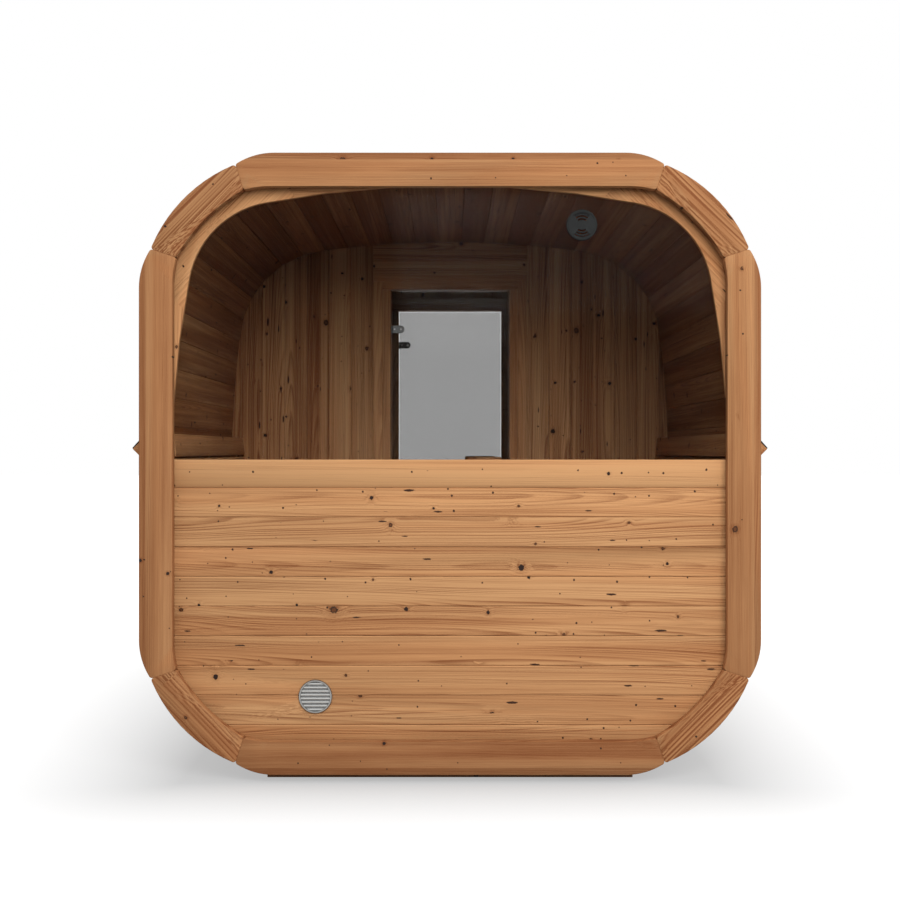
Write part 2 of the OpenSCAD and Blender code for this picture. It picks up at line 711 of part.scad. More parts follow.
// Handle: a wooden bar on two posts, on each face of the glass
module door_handle(from) {
    post_in = handle_l / 2 - handle_post_d;
    mid_z = floor_z + handle_up - handle_h / 2;
    color(dark_wood) translate([door_w / 2 - handle_in, leaf_face(from), mid_z]) rotate([90, 0, 0])
        for (face = [[0, -1], [glass_t, 1]]) translate([0, 0, face[0]]) {
            for (side = [-1, 1]) translate([side * post_in, 0, face[1] < 0 ? -handle_gap : 0])
                cylinder(h = handle_gap, d = handle_post_d);
            translate([0, 0, face[1] < 0 ? -handle_gap - handle_t : handle_gap])
                linear_extrude(handle_t) polygon(rounded([for (corner = [[-1, -1], [1, -1], [1, 1], [-1, 1]])
                    [corner[0] * handle_l / 2, corner[1] * handle_h / 2, handle_h / 4]]));
        }
}
module inner_door_glass() { door_glass(partition_from); }
module inner_door_hinges() { door_hinges(partition_from); }
module inner_door_brackets() { door_brackets(partition_from); }
module inner_door_handle() { door_handle(partition_from); }
module outer_door_glass() { door_glass(front_wall_from); }
module outer_door_hinges() { door_hinges(front_wall_from); }
module outer_door_brackets() { door_brackets(front_wall_from); }
module outer_door_handle() { door_handle(front_wall_from); }

// Floors: boards along the cabin on joists that are hollowed to the shell
wall_play = 3;
module deck(from, to, joists) {
    count = ceil(shell_half / (deck_w + deck_gap));
    color(wood) intersection() {
        inside_shell(from, to);
        union() {
            for (k = [-count:count])
                translate([k * (deck_w + deck_gap) - deck_w / 2, from + wall_play, floor_z - deck_t])
                    cube([deck_w, to - from - 2 * wall_play, deck_t]);
            for (k = [0:joists - 1])
                translate([-shell_half, from + wall_play
                           + k * (to - from - 2 * wall_play - joist_w) / (joists - 1), shell_low_z - 1])
                    cube([2 * shell_half, joist_w, floor_z - deck_t - shell_low_z + 1]);
        }
    }
}
module room_floor() { deck(room_y, partition_from - jamb_out, 4); }
module vestibule_floor() { deck(partition_to + jamb_out, front_wall_from - jamb_out, 3); }

// Benches: slats along the room on frames of a rail and a leg
bench_from = room_y + wall_play;
bench_to = partition_from - wall_play;
bench_frames = 3;
bench_front = shell_half - bench_depth;
bench_top = floor_z + bench_h;
frame_end_in = 60;
frame_front_in = 12;
function frame_place(k) = bench_from + frame_end_in +
    k * (bench_to - bench_from - 2 * frame_end_in - leg_w) / (bench_frames - 1);
module right_bench() {
    color(light_wood) intersection() {
        inside_shell(bench_from, bench_to);
        union() {
            for (k = [0:slat_count - 1])
                translate([bench_front + k * (slat_w + slat_gap), bench_from, bench_top - slat_t])
                    cube([slat_w, bench_to - bench_from, slat_t]);
            for (k = [0:bench_frames - 1]) translate([bench_front + frame_front_in, frame_place(k), 0]) {
                translate([0, 0, bench_top - slat_t - bench_rail_h])
                    cube([shell_half, leg_w, bench_rail_h]);
                translate([0, 0, floor_z]) cube([leg_w, leg_w, bench_h - slat_t]);
            }
        }
    }
}
module left_bench() { mirror([1, 0, 0]) right_bench(); }
// Backrests: leaning slats on wedges that stand on the side wall
backrest_top = bench_top + backrest_up;
backrest_x = shell_half - backrest_in;
wedge_in = 10;
wedge_deep = 150;
module right_backrest() {
    rise = backrest_slat + slat_gap;
    length = backrest_count * rise - slat_gap;
    color(light_wood) intersection() {
        inside_shell(bench_from, bench_to);
        translate([backrest_x, 0, backrest_top]) rotate([0, backrest_lean, 0]) {
            for (k = [0:backrest_count - 1])
                translate([0, bench_from, -k * rise - backrest_slat])
                    cube([slat_t, bench_to - bench_from, backrest_slat]);
            for (k = [0:bench_frames - 1])
                translate([slat_t, frame_place(k), wedge_in - length])
                    cube([wedge_deep, leg_w, length - 2 * wedge_in]);
        }
    }
}
module left_backrest() { mirror([1, 0, 0]) right_backrest(); }

rear_ring_top_beam();
rear_ring_bottom_beam();
rear_ring_side_beams();
rear_ring_corner_timbers();
front_ring_top_beam();
front_ring_bottom_beam();
front_ring_side_beams();
front_ring_corner_timbers();
roof_staves();
floor_staves();
left_side_staves();
right_side_staves();
upper_corner_staves();
lower_corner_staves();
roofing();
drip_battens();
bearers();
rear_wall_boards();
rear_sill_rail();
rear_window_frame();
rear_window_glass();
rear_wall_grille();
rear_window_vent();
partition_left_boards();
partition_right_boards();
partition_over_door();
inner_door_frame();
inner_door_brackets();
inner_door_glass();
inner_door_hinges();
inner_door_handle();
front_wall_left_boards();
front_wall_right_boards();
front_wall_over_door();
outer_door_frame();
outer_door_brackets();
outer_door_glass();
outer_door_hinges();
outer_door_handle();
left_bench();
right_bench();
left_backrest();
right_backrest();
room_floor();
vestibule_floor();
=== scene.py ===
"""Dresses the sauna cabin: knotty heat-treated boards, tinted panes, roofing felt and fittings,
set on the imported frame, with a pale floor, soft lamps and the photograph's camera."""

import json
import math

import bmesh
import bpy
import numpy as np
from bpy.props import FloatProperty, FloatVectorProperty, IntProperty, PointerProperty
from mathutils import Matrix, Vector

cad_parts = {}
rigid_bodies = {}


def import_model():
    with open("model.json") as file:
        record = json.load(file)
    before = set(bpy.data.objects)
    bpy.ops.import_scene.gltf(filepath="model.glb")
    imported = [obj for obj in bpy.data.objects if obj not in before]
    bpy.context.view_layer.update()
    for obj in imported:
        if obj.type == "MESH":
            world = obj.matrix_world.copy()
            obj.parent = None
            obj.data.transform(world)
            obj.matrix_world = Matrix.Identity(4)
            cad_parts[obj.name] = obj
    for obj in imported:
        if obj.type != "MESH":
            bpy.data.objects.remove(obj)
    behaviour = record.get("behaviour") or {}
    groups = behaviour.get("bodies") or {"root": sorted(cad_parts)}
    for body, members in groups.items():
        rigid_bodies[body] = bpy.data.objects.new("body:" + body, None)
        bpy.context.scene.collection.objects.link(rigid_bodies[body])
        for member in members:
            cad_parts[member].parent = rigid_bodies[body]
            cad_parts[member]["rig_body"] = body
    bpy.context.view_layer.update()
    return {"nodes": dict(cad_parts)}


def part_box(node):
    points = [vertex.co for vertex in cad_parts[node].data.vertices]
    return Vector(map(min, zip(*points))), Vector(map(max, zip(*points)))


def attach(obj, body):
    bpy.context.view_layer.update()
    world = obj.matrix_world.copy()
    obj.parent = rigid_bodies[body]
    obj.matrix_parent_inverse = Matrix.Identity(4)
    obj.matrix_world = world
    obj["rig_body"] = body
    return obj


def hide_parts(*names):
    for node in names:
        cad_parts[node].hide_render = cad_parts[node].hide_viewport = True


bl_info = {
    "name": "Sauna cabin dressing",
    "version": (1, 0, 0),
    "blender": (4, 5, 0),
    "location": "3D View > Sidebar > Sauna",
    "description": "Boards, panes, roofing and fittings for the sauna cabin",
    "category": "Object",
}

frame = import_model()

# The cabin's rounded square, in metres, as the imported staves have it
SHELL_HALF = 1.097
SIDE_RADIUS = 4.85
CORNER_RADIUS = 0.473
SHELL_CENTRE_Z = 1.18
STAVE_THICKNESS = 0.042
RING_HALF = 1.15
FOOT_HALF_WIDTH = 1.0
FOOT_HALF_LENGTH = 1.5

# How each wood is cut and finished: ring pitch (m), ring contrast, streaks, spread of tone from
# board to board, least distance sideways from the log's middle (m), share of places with a large
# knot, share of places with a small knot, shift towards the dark colour
WOODS = {
    "ring beam": (0.0046, 0.24, 0.18, 0.06, 0.22, 0.34, 0.25, 0.50),
    # The bottom beam's wood is the top beam's made darker: painted shade from light above
    "ring foot": (0.0046, 0.24, 0.18, 0.06, 0.22, 0.34, 0.25, 0.68),
    "ring corner": (0.0150, 1.15, 0.26, 0.10, 0.12, 0.35, 0.20, 0.54),
    # Staves are made darker than the wall boards, partly as painted shade for the dim inside
    "stave": (0.0060, 0.40, 0.36, 0.36, 0.00, 0.55, 0.40, 0.68),
    # The ceiling's staves are made darker still: painted shade on the ceiling inside
    "roof stave": (0.0060, 0.40, 0.36, 0.36, 0.00, 0.55, 0.40, 0.84),
    "wall board": (0.0062, 0.52, 0.30, 0.20, 0.00, 0.60, 0.55, 0.16),
    "sill": (0.0056, 0.30, 0.30, 0.10, 0.05, 0.45, 0.30, 0.04),
    "partition board": (0.0064, 0.60, 0.45, 0.40, 0.00, 0.75, 0.50, 0.40),
    "frame timber": (0.0050, 0.35, 0.35, 0.20, 0.10, 0.45, 0.40, 0.30),
    "window frame": (0.0070, 0.40, 0.35, 0.16, 0.04, 0.70, 0.50, 0.32),
    "bench timber": (0.0056, 0.35, 0.35, 0.30, 0.04, 0.45, 0.35, 0.34),
    "bearer timber": (0.0060, 0.45, 0.40, 0.20, 0.04, 0.50, 0.40, 0.50),
    "batten timber": (0.0050, 0.45, 0.40, 0.20, 0.04, 0.35, 0.30, 0.40),
    "handle timber": (0.0032, 0.40, 0.30, 0.10, 0.06, 0.00, 0.00, 0.45),
}

# Node of the frame, direction its grain runs in, wood, slot
RING_TIMBERS = tuple(
    (f"{end}_ring_{part}", run, wood, slot)
    for end in ("rear", "front")
    for part, run, wood, slot in (
        ("top_beam", "X", "ring beam", "ring_wood"),
        # The bottom beam takes that darker wood as painted shade
        ("bottom_beam", "X", "ring foot", "ring_wood"),
        ("side_beams", "Z", "ring beam", "ring_wood"),
        ("corner_timbers", "OWN", "ring corner", "corner_wood"),
    )
)
# The ceiling's staves take that darker wood as painted shade
STAVES = (("roof_staves", "Y", "roof stave", "stave_wood"),) + tuple(
    # These staves take that darker wood, partly painted shade for the dim inside
    (node, "Y", "stave", "stave_wood")
    for node in (
        "floor_staves",
        "left_side_staves",
        "right_side_staves",
        "upper_corner_staves",
        "lower_corner_staves",
    )
)
END_WALLS = (
    ("rear_wall_boards", "X", "wall board", "wall_wood"),
    ("rear_sill_rail", "X", "sill", "wall_wood"),
    ("rear_window_frame", "OWN", "window frame", "frame_wood"),
    ("front_wall_left_boards", "Z", "wall board", "wall_wood"),
    ("front_wall_right_boards", "Z", "wall board", "wall_wood"),
    ("front_wall_over_door", "Z", "wall board", "wall_wood"),
    ("outer_door_frame", "LONG", "frame timber", "frame_wood"),
)
INSIDE = (
    ("partition_left_boards", "Z", "partition board", "partition_wood"),
    ("partition_right_boards", "Z", "partition board", "partition_wood"),
    ("partition_over_door", "X", "partition board", "partition_wood"),
    ("inner_door_frame", "LONG", "frame timber", "frame_wood"),
    ("left_bench", "LONG", "bench timber", "bench_wood"),
    ("right_bench", "LONG", "bench timber", "bench_wood"),
    ("left_backrest", "Y", "bench timber", "bench_wood"),
    ("right_backrest", "Y", "bench timber", "bench_wood"),
    ("room_floor", "LONG", "bench timber", "floor_wood"),
    ("vestibule_floor", "LONG", "bench timber", "floor_wood"),
)
OUTSIDE = (
    ("bearers", "X", "bearer timber", "bearer_wood"),
    ("drip_battens", "Y", "batten timber", "batten_wood"),
)
HANDLES = (
    ("inner_door_handle", "X", "handle timber", "handle_wood"),
    ("outer_door_handle", "X", "handle timber", "handle_wood"),
)
AXES = {"X": (1, 0, 0), "Y": (0, 1, 0), "Z": (0, 0, 1)}
SEED = 41


# Settings


class CabinTimber(bpy.types.PropertyGroup):
    light: FloatVectorProperty(
        name="Early wood",
        description="Colour of the pale part of a growth ring",
        subtype="COLOR",
        default=(0.640, 0.352, 0.162),
    )
    dark: FloatVectorProperty(
        name="Late wood",
        description="Colour of the dark part of a growth ring",
        subtype="COLOR",
        default=(0.215, 0.076, 0.026),
    )
    knot: FloatVectorProperty(
        name="Knot",
        description="Colour of a knot's middle",
        subtype="COLOR",
        default=(0.022, 0.011, 0.008),
    )
    arris: FloatProperty(
        name="Arris",
        description="Width of the small bevel along each board's edges",
        subtype="DISTANCE",
        unit="LENGTH",
        default=0.0016,
        min=0.0,
    )


class CabinGlass(bpy.types.PropertyGroup):
    tint: FloatVectorProperty(
        name="Tint",
        description="Share of the light that a pane lets through",
        subtype="COLOR",
        default=(0.66, 0.66, 0.66),
    )


class CabinRoofing(bpy.types.PropertyGroup):
    felt: FloatVectorProperty(
        name="Felt",
        description="Colour of the mineral felt",
        subtype="COLOR",
        default=(0.018, 0.018, 0.018),
    )
    course: FloatProperty(
        name="Course",
        description="Height of each course of shingles that shows",
        subtype="DISTANCE",
        unit="LENGTH",
        default=0.145,
        min=0.05,
    )
    tab: FloatProperty(
        name="Tab",
        description="Width of one shingle tab with its slot",
        subtype="DISTANCE",
        unit="LENGTH",
        default=0.167,
        min=0.05,
    )
    slot: FloatProperty(
        name="Slot",
        description="Width of the slot between two tabs",
        subtype="DISTANCE",
        unit="LENGTH",
        default=0.007,
    )
    thickness: FloatProperty(
        name="Thickness",
        description="Thickness of a shingle",
        subtype="DISTANCE",
        unit="LENGTH",
        default=0.0032,
    )


class CabinFittings(bpy.types.PropertyGroup):
    steel: FloatVectorProperty(
        name="Hinges",
        description="Colour of the brushed steel",
        subtype="COLOR",
        default=(0.20, 0.20, 0.195),
    )
    aluminium: FloatVectorProperty(
        name="Grille",
        description="Colour of the vent grille's metal",
        subtype="COLOR",
        default=(0.66, 0.66, 0.64),
    )
    plastic: FloatVectorProperty(
        name="Window vent",
        description="Colour of the window vent's moulding",
        subtype="COLOR",
        default=(0.015, 0.016, 0.016),
    )


class CabinStage(bpy.types.PropertyGroup):
    camera_back: FloatProperty(
        name="Camera distance",
        description="Distance of the camera from the cabin's middle",
        subtype="DISTANCE",
        unit="LENGTH",
        default=6.58,
    )
    camera_height: FloatProperty(
        name="Camera height",
        description="Height of the camera above the floor",
        subtype="DISTANCE",
        unit="LENGTH",
        default=1.231,
    )
    lens: FloatProperty(
        name="Lens",
        description="Focal length on a 36 mm sensor, in millimetres",
        default=55.0,
        min=10.0,
    )
    ambient: FloatProperty(
        name="Ambient light",
        description="Strength of the even light from all round",
        default=0.58,
        min=0.0,
    )
    key: FloatProperty(
        name="Key light",
        description="Power of the large soft lamp above the camera",
        subtype="POWER",
        default=320.0,
        min=0.0,
    )
    floor_size: FloatProperty(
        name="Floor size",
        description="Side of the square studio floor",
        subtype="DISTANCE",
        unit="LENGTH",
        default=120.0,
    )


# Shader building


class Nodes:
    """Adds nodes to a tree, and joins or sets each input as it goes."""

    def __init__(self, tree):
        self.tree = tree

    def join(self, value, socket):
        if isinstance(value, bpy.types.NodeSocket):
            self.tree.links.new(value, socket)
        elif isinstance(value, (tuple, list)) and socket.type == "RGBA":
            socket.default_value = (*value[:3], 1.0)
        else:
            socket.default_value = value

    def add(self, kind, inputs=(), **settings):
        node = self.tree.nodes.new(kind)
        for name, value in settings.items():
            setattr(node, name, value)
        for key, value in dict(inputs).items():
            self.join(value, node.inputs[key])
        return node

    def math(self, operation, a, b=0.0, c=0.0, clamp=False):
        node = self.add("ShaderNodeMath", {0: a, 1: b, 2: c}, operation=operation, use_clamp=clamp)
        return node.outputs[0]

    def vector(self, operation, a, b=(0.0, 0.0, 0.0), scale=1.0):
        node = self.add("ShaderNodeVectorMath", {0: a, 1: b, 3: scale}, operation=operation)
        return node.outputs["Value" if operation in ("LENGTH", "DOT_PRODUCT") else "Vector"]

    def combine(self, x, y, z):
        return self.add("ShaderNodeCombineXYZ", {0: x, 1: y, 2: z}).outputs[0]

    def separate(self, vector):
        return self.add("ShaderNodeSeparateXYZ", {0: vector}).outputs

    def noise(self, vector, detail=2.0, roughness=0.5, scale=1.0):
        return self.add(
            "ShaderNodeTexNoise",
            {"Vector": vector, "Scale": scale, "Detail": detail, "Roughness": roughness},
        ).outputs

    def mix(self, share, a, b, blend="MIX"):
        node = self.add(
            "ShaderNodeMix", {0: share, 6: a, 7: b}, data_type="RGBA", blend_type=blend
        )
        return node.outputs[2]

    def step(self, value, low, high, to_low=0.0, to_high=1.0):
        """A smooth step from to_low at low to to_high at high."""
        return self.add(
            "ShaderNodeMapRange",
            {0: value, 1: low, 2: high, 3: to_low, 4: to_high},
            interpolation_type="SMOOTHSTEP",
        ).outputs[0]


def new_group(name, inputs, outputs):
    """An empty shader group with its named sockets: (name, kind, default) in, (name, kind) out."""
    tree = bpy.data.node_groups.new(name, "ShaderNodeTree")
    for label, kind, default in inputs:
        socket = tree.interface.new_socket(label, in_out="INPUT", socket_type=kind)
        if default is not None:
            socket.default_value = default
    for label, kind in outputs:
        tree.interface.new_socket(label, in_out="OUTPUT", socket_type=kind)
    nodes = Nodes(tree)
    source = nodes.add("NodeGroupInput").outputs
    sink = nodes.add("NodeGroupOutput")
    return tree, nodes, source, sink


def knot_places(n, place, cell, share, least, most, flattened, drawn_out):
    """One possible knot in each cell of a stretched cell pattern. Gives the distance from its
    middle over its size, whether it is there, its size and its own three odds. A flattened share
    of them is drawn out along the grain, so many times as long."""
    cells = n.add("ShaderNodeTexVoronoi", {"Vector": n.vector("MULTIPLY", place, cell), "Scale": 1.0})
    odds = n.separate(cells.outputs["Color"])
    away = n.vector("SUBTRACT", place, n.vector("DIVIDE", cells.outputs["Position"], cell))
    drawn = n.math("LESS_THAN", odds[2], flattened)
    away = n.vector("MULTIPLY", away, n.combine(n.math("MULTIPLY_ADD", drawn, 1.0 / drawn_out - 0.9, 0.9), 0.8, 0.0))
    there = n.math("LESS_THAN", odds[1], share)
    size = n.math("MULTIPLY_ADD", n.math("POWER", odds[0], 2.0), most - least, least)
    ragged = n.noise(place, detail=1.0, scale=170.0)[0]
    reach = n.math("DIVIDE", n.vector("LENGTH", away), size)
    reach = n.math("MULTIPLY", reach, n.math("MULTIPLY_ADD", ragged, 0.9, 0.55))
    return reach, there, size, odds


def softwood_group():
    """Softwood sawn from a log. Grain is (along, across, through) the board in metres.
    A ring's field is the distance to the log's slowly wandering, tapering pith, raised to a small
    hill round each knot, and the fraction of field over pitch gives pale and dark wood. A board
    cut near the pith shows arches, one cut further off shows straight lines."""
    float_in, colour_in = "NodeSocketFloat", "NodeSocketColor"
    tree, n, given, out = new_group(
        "Softwood",
        (
            ("Grain", "NodeSocketVector", None),
            ("Board", float_in, 0.5),
            ("Light", colour_in, (0.5, 0.3, 0.15, 1)),
            ("Dark", colour_in, (0.2, 0.1, 0.05, 1)),
            ("Knot", colour_in, (0.03, 0.015, 0.01, 1)),
            ("Ring Pitch", float_in, 0.006),
            ("Ring Contrast", float_in, 0.4),
            ("Streaks", float_in, 0.3),
            ("Board Spread", float_in, 0.3),
            ("Pith Away", float_in, 0.0),
            ("Large Knots", float_in, 0.5),
            ("Small Knots", float_in, 0.5),
            ("Shift", float_in, 0.35),
        ),
        (("Color", colour_in), ("Roughness", float_in), ("Height", float_in)),
    )
    numbers = n.add("ShaderNodeTexWhiteNoise", {"W": given["Board"]}, noise_dimensions="1D")
    chance = n.separate(numbers.outputs["Color"])
    shift = n.vector("SCALE", (31.7, 17.3, 11.9), scale=given["Board"])
    place = n.vector("ADD", given["Grain"], shift)

    large, large_there, large_size, large_odds = knot_places(
        n, place, (2.6, 8.0, 1.0), given["Large Knots"], 0.0038, 0.0098, 0.35, 1.5
    )
    small, small_there, small_size, _ = knot_places(
        n, place, (6.5, 17.0, 1.0), given["Small Knots"], 0.0017, 0.0036, 0.22, 6.0
    )
    hill = n.math("EXPONENT", n.math("MULTIPLY", n.math("MULTIPLY", large, large), -0.13))
    hill = n.math("MULTIPLY", n.math("MULTIPLY", hill, large_there), n.math("MULTIPLY", large_size, 1.5))
    halo = n.math("MULTIPLY", n.step(large, 1.1, 2.6, 1.0, 0.0), large_there)

    # Growth rings
    slow = n.noise(n.vector("MULTIPLY", place, (0.9, 2.0, 2.0)), detail=1.0)[1]
    sway = n.vector("MULTIPLY", n.vector("SUBTRACT", slow, (0.5, 0.5, 0.5)), (0.0, 0.030, 0.060))
    side = n.math("MULTIPLY_ADD", chance[0], 2.0, -1.0)
    sideways = n.math("MULTIPLY_ADD", n.math("SIGN", side), given["Pith Away"], n.math("MULTIPLY", side, 0.10))
    pith = n.combine(0.0, sideways, n.math("MULTIPLY_ADD", chance[1], -0.04, -0.008))
    from_pith = n.vector("ADD", n.vector("SUBTRACT", given["Grain"], pith), sway)
    radius = n.vector("LENGTH", n.vector("MULTIPLY", from_pith, (0.0, 1.0, 1.0)))
    along = n.separate(given["Grain"])[0]
    field = n.math("MULTIPLY_ADD", along, 0.016, n.math("ADD", radius, hill))
    pitch = n.math("MULTIPLY", given["Ring Pitch"], n.math("MULTIPLY_ADD", chance[2], 0.5, 0.75))
    count = n.math("DIVIDE", field, pitch)
    uneven = n.add(
        "ShaderNodeTexNoise", {"W": count, "Scale": 0.45, "Detail": 1.0}, noise_dimensions="1D"
    ).outputs[0]
    count = n.math("MULTIPLY_ADD", uneven, 2.4, count)
    part = n.math("FRACT", count)
    late = n.math("MULTIPLY", n.step(part, 0.30, 0.88), n.step(part, 0.90, 1.0, 1.0, 0.0))
    strength = n.noise(n.vector("MULTIPLY", place, (0.8, 26.0, 26.0)), detail=1.0)[0]
    late = n.math("MULTIPLY", late, n.step(strength, 0.30, 0.68, 0.25, 1.25))

    # Heart and sap bands, streaks, fibres and slow clouds of tone
    band = n.noise(n.vector("MULTIPLY", place, (0.35, 15.0, 15.0)), detail=1.0)[0]
    band = n.math("SUBTRACT", n.step(band, 0.40, 0.60), 0.5)
    streak = n.noise(n.vector("MULTIPLY", place, (0.8, 85.0, 85.0)), detail=3.0, roughness=0.6)[0]
    streak = n.math("SUBTRACT", n.step(streak, 0.25, 0.75), 0.5)
    fibre = n.noise(n.vector("MULTIPLY", place, (9.0, 520.0, 520.0)), detail=2.0)[0]
    cloud = n.math("SUBTRACT", n.noise(n.vector("MULTIPLY", place, (2.0, 7.0, 7.0)), detail=2.0)[0], 0.5)
    tone = n.math("MULTIPLY_ADD", late, given["Ring Contrast"], given["Shift"])
    tone = n.math("MULTIPLY_ADD", streak, given["Streaks"], tone)
    tone = n.math("MULTIPLY_ADD", n.math("SUBTRACT", given["Board"], 0.5), given["Board Spread"], tone)
    tone = n.math("MULTIPLY_ADD", band, n.math("MULTIPLY_ADD", given["Board Spread"], 0.4, 0.08), tone)
    tone = n.math("MULTIPLY_ADD", cloud, 0.30, tone)
    tone = n.math("MULTIPLY_ADD", n.math("SUBTRACT", fibre, 0.5), 0.30, tone)
    tone = n.math("MULTIPLY_ADD", halo, 0.18, tone, clamp=True)
    colour = n.mix(tone, given["Light"], given["Dark"])
    warmth = n.math("MULTIPLY_ADD", band, 0.4, n.math("MULTIPLY_ADD", chance[1], 0.9, 0.05), clamp=True)
    colour = n.mix(warmth, colour, n.mix(1.0, colour, (1.04, 0.93, 0.86), blend="MULTIPLY"))

    # A large knot is dark all through, or brown with a dark rim; a small one is a dark dot or dash
    core = n.math("MULTIPLY", n.step(large, 0.85, 1.15, 1.0, 0.0), large_there)
    filled = n.math("MAXIMUM", n.step(large, 0.45, 0.85), n.math("GREATER_THAN", large_odds[2], 0.55))
    brown = n.mix(0.45, given["Dark"], given["Knot"])
    colour = n.mix(core, colour, n.mix(filled, brown, given["Knot"]))
    dot = n.math("MULTIPLY", n.step(small, 0.85, 1.25, 1.0, 0.0), small_there)
    colour = n.mix(dot, colour, n.mix(0.12, given["Knot"], given["Dark"]))
    n.join(colour, out.inputs["Color"])
    n.join(n.math("MULTIPLY_ADD", fibre, 0.20, n.math("MULTIPLY_ADD", late, -0.08, 0.50)), out.inputs["Roughness"])
    height = n.math("MULTIPLY_ADD", late, 0.45, n.math("MULTIPLY", fibre, 0.4))
    n.join(n.math("MULTIPLY_ADD", core, 0.5, height), out.inputs["Height"])
    return tree


def mitred_group():
    """Grain round the cabin's rounded square. Place is a point of the object, in metres. Timbers
    lie along the top and foot, the sides and, at 45 degrees, the corners; the board number steps
    from one timber to the next."""
    float_in, colour_in = "NodeSocketFloat", "NodeSocketColor"
    tree, n, given, out = new_group(
        "Mitred Timbers",
        (("Place", "NodeSocketVector", None), ("Board", float_in, 0.5), ("Mitre", float_in, 0.42)),
        (("Grain", colour_in), ("Board", float_in)),
    )
    x, y, z = n.separate(given["Place"])
    z = n.math("SUBTRACT", z, SHELL_CENTRE_Z)
    wide, high = n.math("ABSOLUTE", x), n.math("ABSOLUTE", z)
    lean = n.math("SUBTRACT", wide, high)
    corner = n.math("LESS_THAN", n.math("ABSOLUTE", lean), given["Mitre"])
    side = n.math("GREATER_THAN", lean, given["Mitre"])
    level = n.combine(x, z, y)
    upright = n.combine(z, x, y)
    slanted = n.combine(
        n.math("MULTIPLY", lean, math.sqrt(0.5)), n.math("MULTIPLY", n.math("ADD", wide, high), math.sqrt(0.5)), y
    )
    grain = n.mix(side, level, upright)
    grain = n.mix(corner, grain, slanted)
    n.join(n.vector("SUBTRACT", grain, (0.0, 0.0, 0.0)), out.inputs["Grain"])
    board = n.math("MULTIPLY_ADD", corner, 0.37, n.math("MULTIPLY_ADD", side, 0.61, given["Board"]))
    board = n.math("MULTIPLY_ADD", n.math("GREATER_THAN", x, 0.0), 0.173, board)
    board = n.math("MULTIPLY_ADD", n.math("GREATER_THAN", z, 0.0), 0.091, board)
    n.join(n.math("FRACT", board), out.inputs["Board"])
    return tree


def grit_group():
    """Fine grit for felt and cast or moulded surfaces: cells of the given size, in metres, give a
    value from dark to pale per grain and a rounded height."""
    tree, n, given, out = new_group(
        "Grit",
        (("Place", "NodeSocketVector", None), ("Grain Size", "NodeSocketFloat", 0.001)),
        (("Value", "NodeSocketFloat"), ("Height", "NodeSocketFloat")),
    )
    scale = n.math("DIVIDE", 1.0, given["Grain Size"])
    cells = n.add("ShaderNodeTexVoronoi", {"Vector": given["Place"], "Scale": scale})
    n.join(n.separate(cells.outputs["Color"])[0], out.inputs["Value"])
    n.join(n.math("SUBTRACT", 1.0, cells.outputs["Distance"]), out.inputs["Height"])
    return tree


def new_material(name):
    """An empty material with a Principled shader on its output."""
    material = bpy.data.materials.new(name)
    material.use_nodes = True
    material.node_tree.nodes.clear()
    n = Nodes(material.node_tree)
    output = n.add("ShaderNodeOutputMaterial")
    shader = n.add("ShaderNodeBsdfPrincipled")
    n.join(shader.outputs[0], output.inputs["Surface"])
    return material, n, shader, output


def place_group(n, name, inputs):
    node = n.add("ShaderNodeGroup", node_tree=bpy.data.node_groups[name])
    for key, value in inputs.items():
        n.join(value, node.inputs[key])
    return node.outputs


def bump(n, height, distance, strength=1.0):
    return n.add(
        "ShaderNodeBump", {"Height": height, "Distance": distance, "Strength": strength}
    ).outputs[0]


def wood_material(wood):
    """One wood of the cabin, its grain and board number read from the piece's attributes."""
    name = f"Wood, {wood}"
    if name in bpy.data.materials:
        return bpy.data.materials[name]
    look = bpy.context.scene.sauna_timber
    pitch, contrast, streaks, spread, away, large_knots, small_knots, shift = WOODS[wood]
    material, n, shader, _ = new_material(name)
    grain = n.add("ShaderNodeAttribute", attribute_name="grain").outputs["Vector"]
    board = n.add("ShaderNodeAttribute", attribute_name="board").outputs["Fac"]
    if wood == "window frame":
        place = n.add("ShaderNodeTexCoord").outputs["Object"]
        timbers = place_group(n, "Mitred Timbers", {"Place": place, "Board": board, "Mitre": 0.42})
        grain, board = timbers["Grain"], timbers["Board"]
    if wood in ("ring beam", "ring foot"):
        x, _, z = n.separate(n.add("ShaderNodeTexCoord").outputs["Object"])
        out = n.math("MAXIMUM", n.math("ABSOLUTE", x), n.math("ABSOLUTE", n.math("SUBTRACT", z, SHELL_CENTRE_Z)))
        strip = n.math("GREATER_THAN", out, RING_HALF - 0.025)
        board = n.math("MULTIPLY_ADD", strip, 0.29, board)
        shift = n.math("MULTIPLY_ADD", strip, 0.17, shift)
    wood_out = place_group(
        n,
        "Softwood",
        {
            "Grain": grain,
            "Board": board,
            "Light": tuple(look.light),
            "Dark": tuple(look.dark),
            "Knot": tuple(look.knot),
            "Ring Pitch": pitch,
            "Ring Contrast": contrast,
            "Streaks": streaks,
            "Board Spread": spread,
            "Pith Away": away,
            "Large Knots": large_knots,
            "Small Knots": small_knots,
            "Shift": shift,
        },
    )
    n.join(wood_out["Color"], shader.inputs["Base Color"])
    n.join(wood_out["Roughness"], shader.inputs["Roughness"])
    n.join(bump(n, wood_out["Height"], 0.0005), shader.inputs["Normal"])
    shader.inputs["Specular IOR Level"].default_value = 0.22
    return material


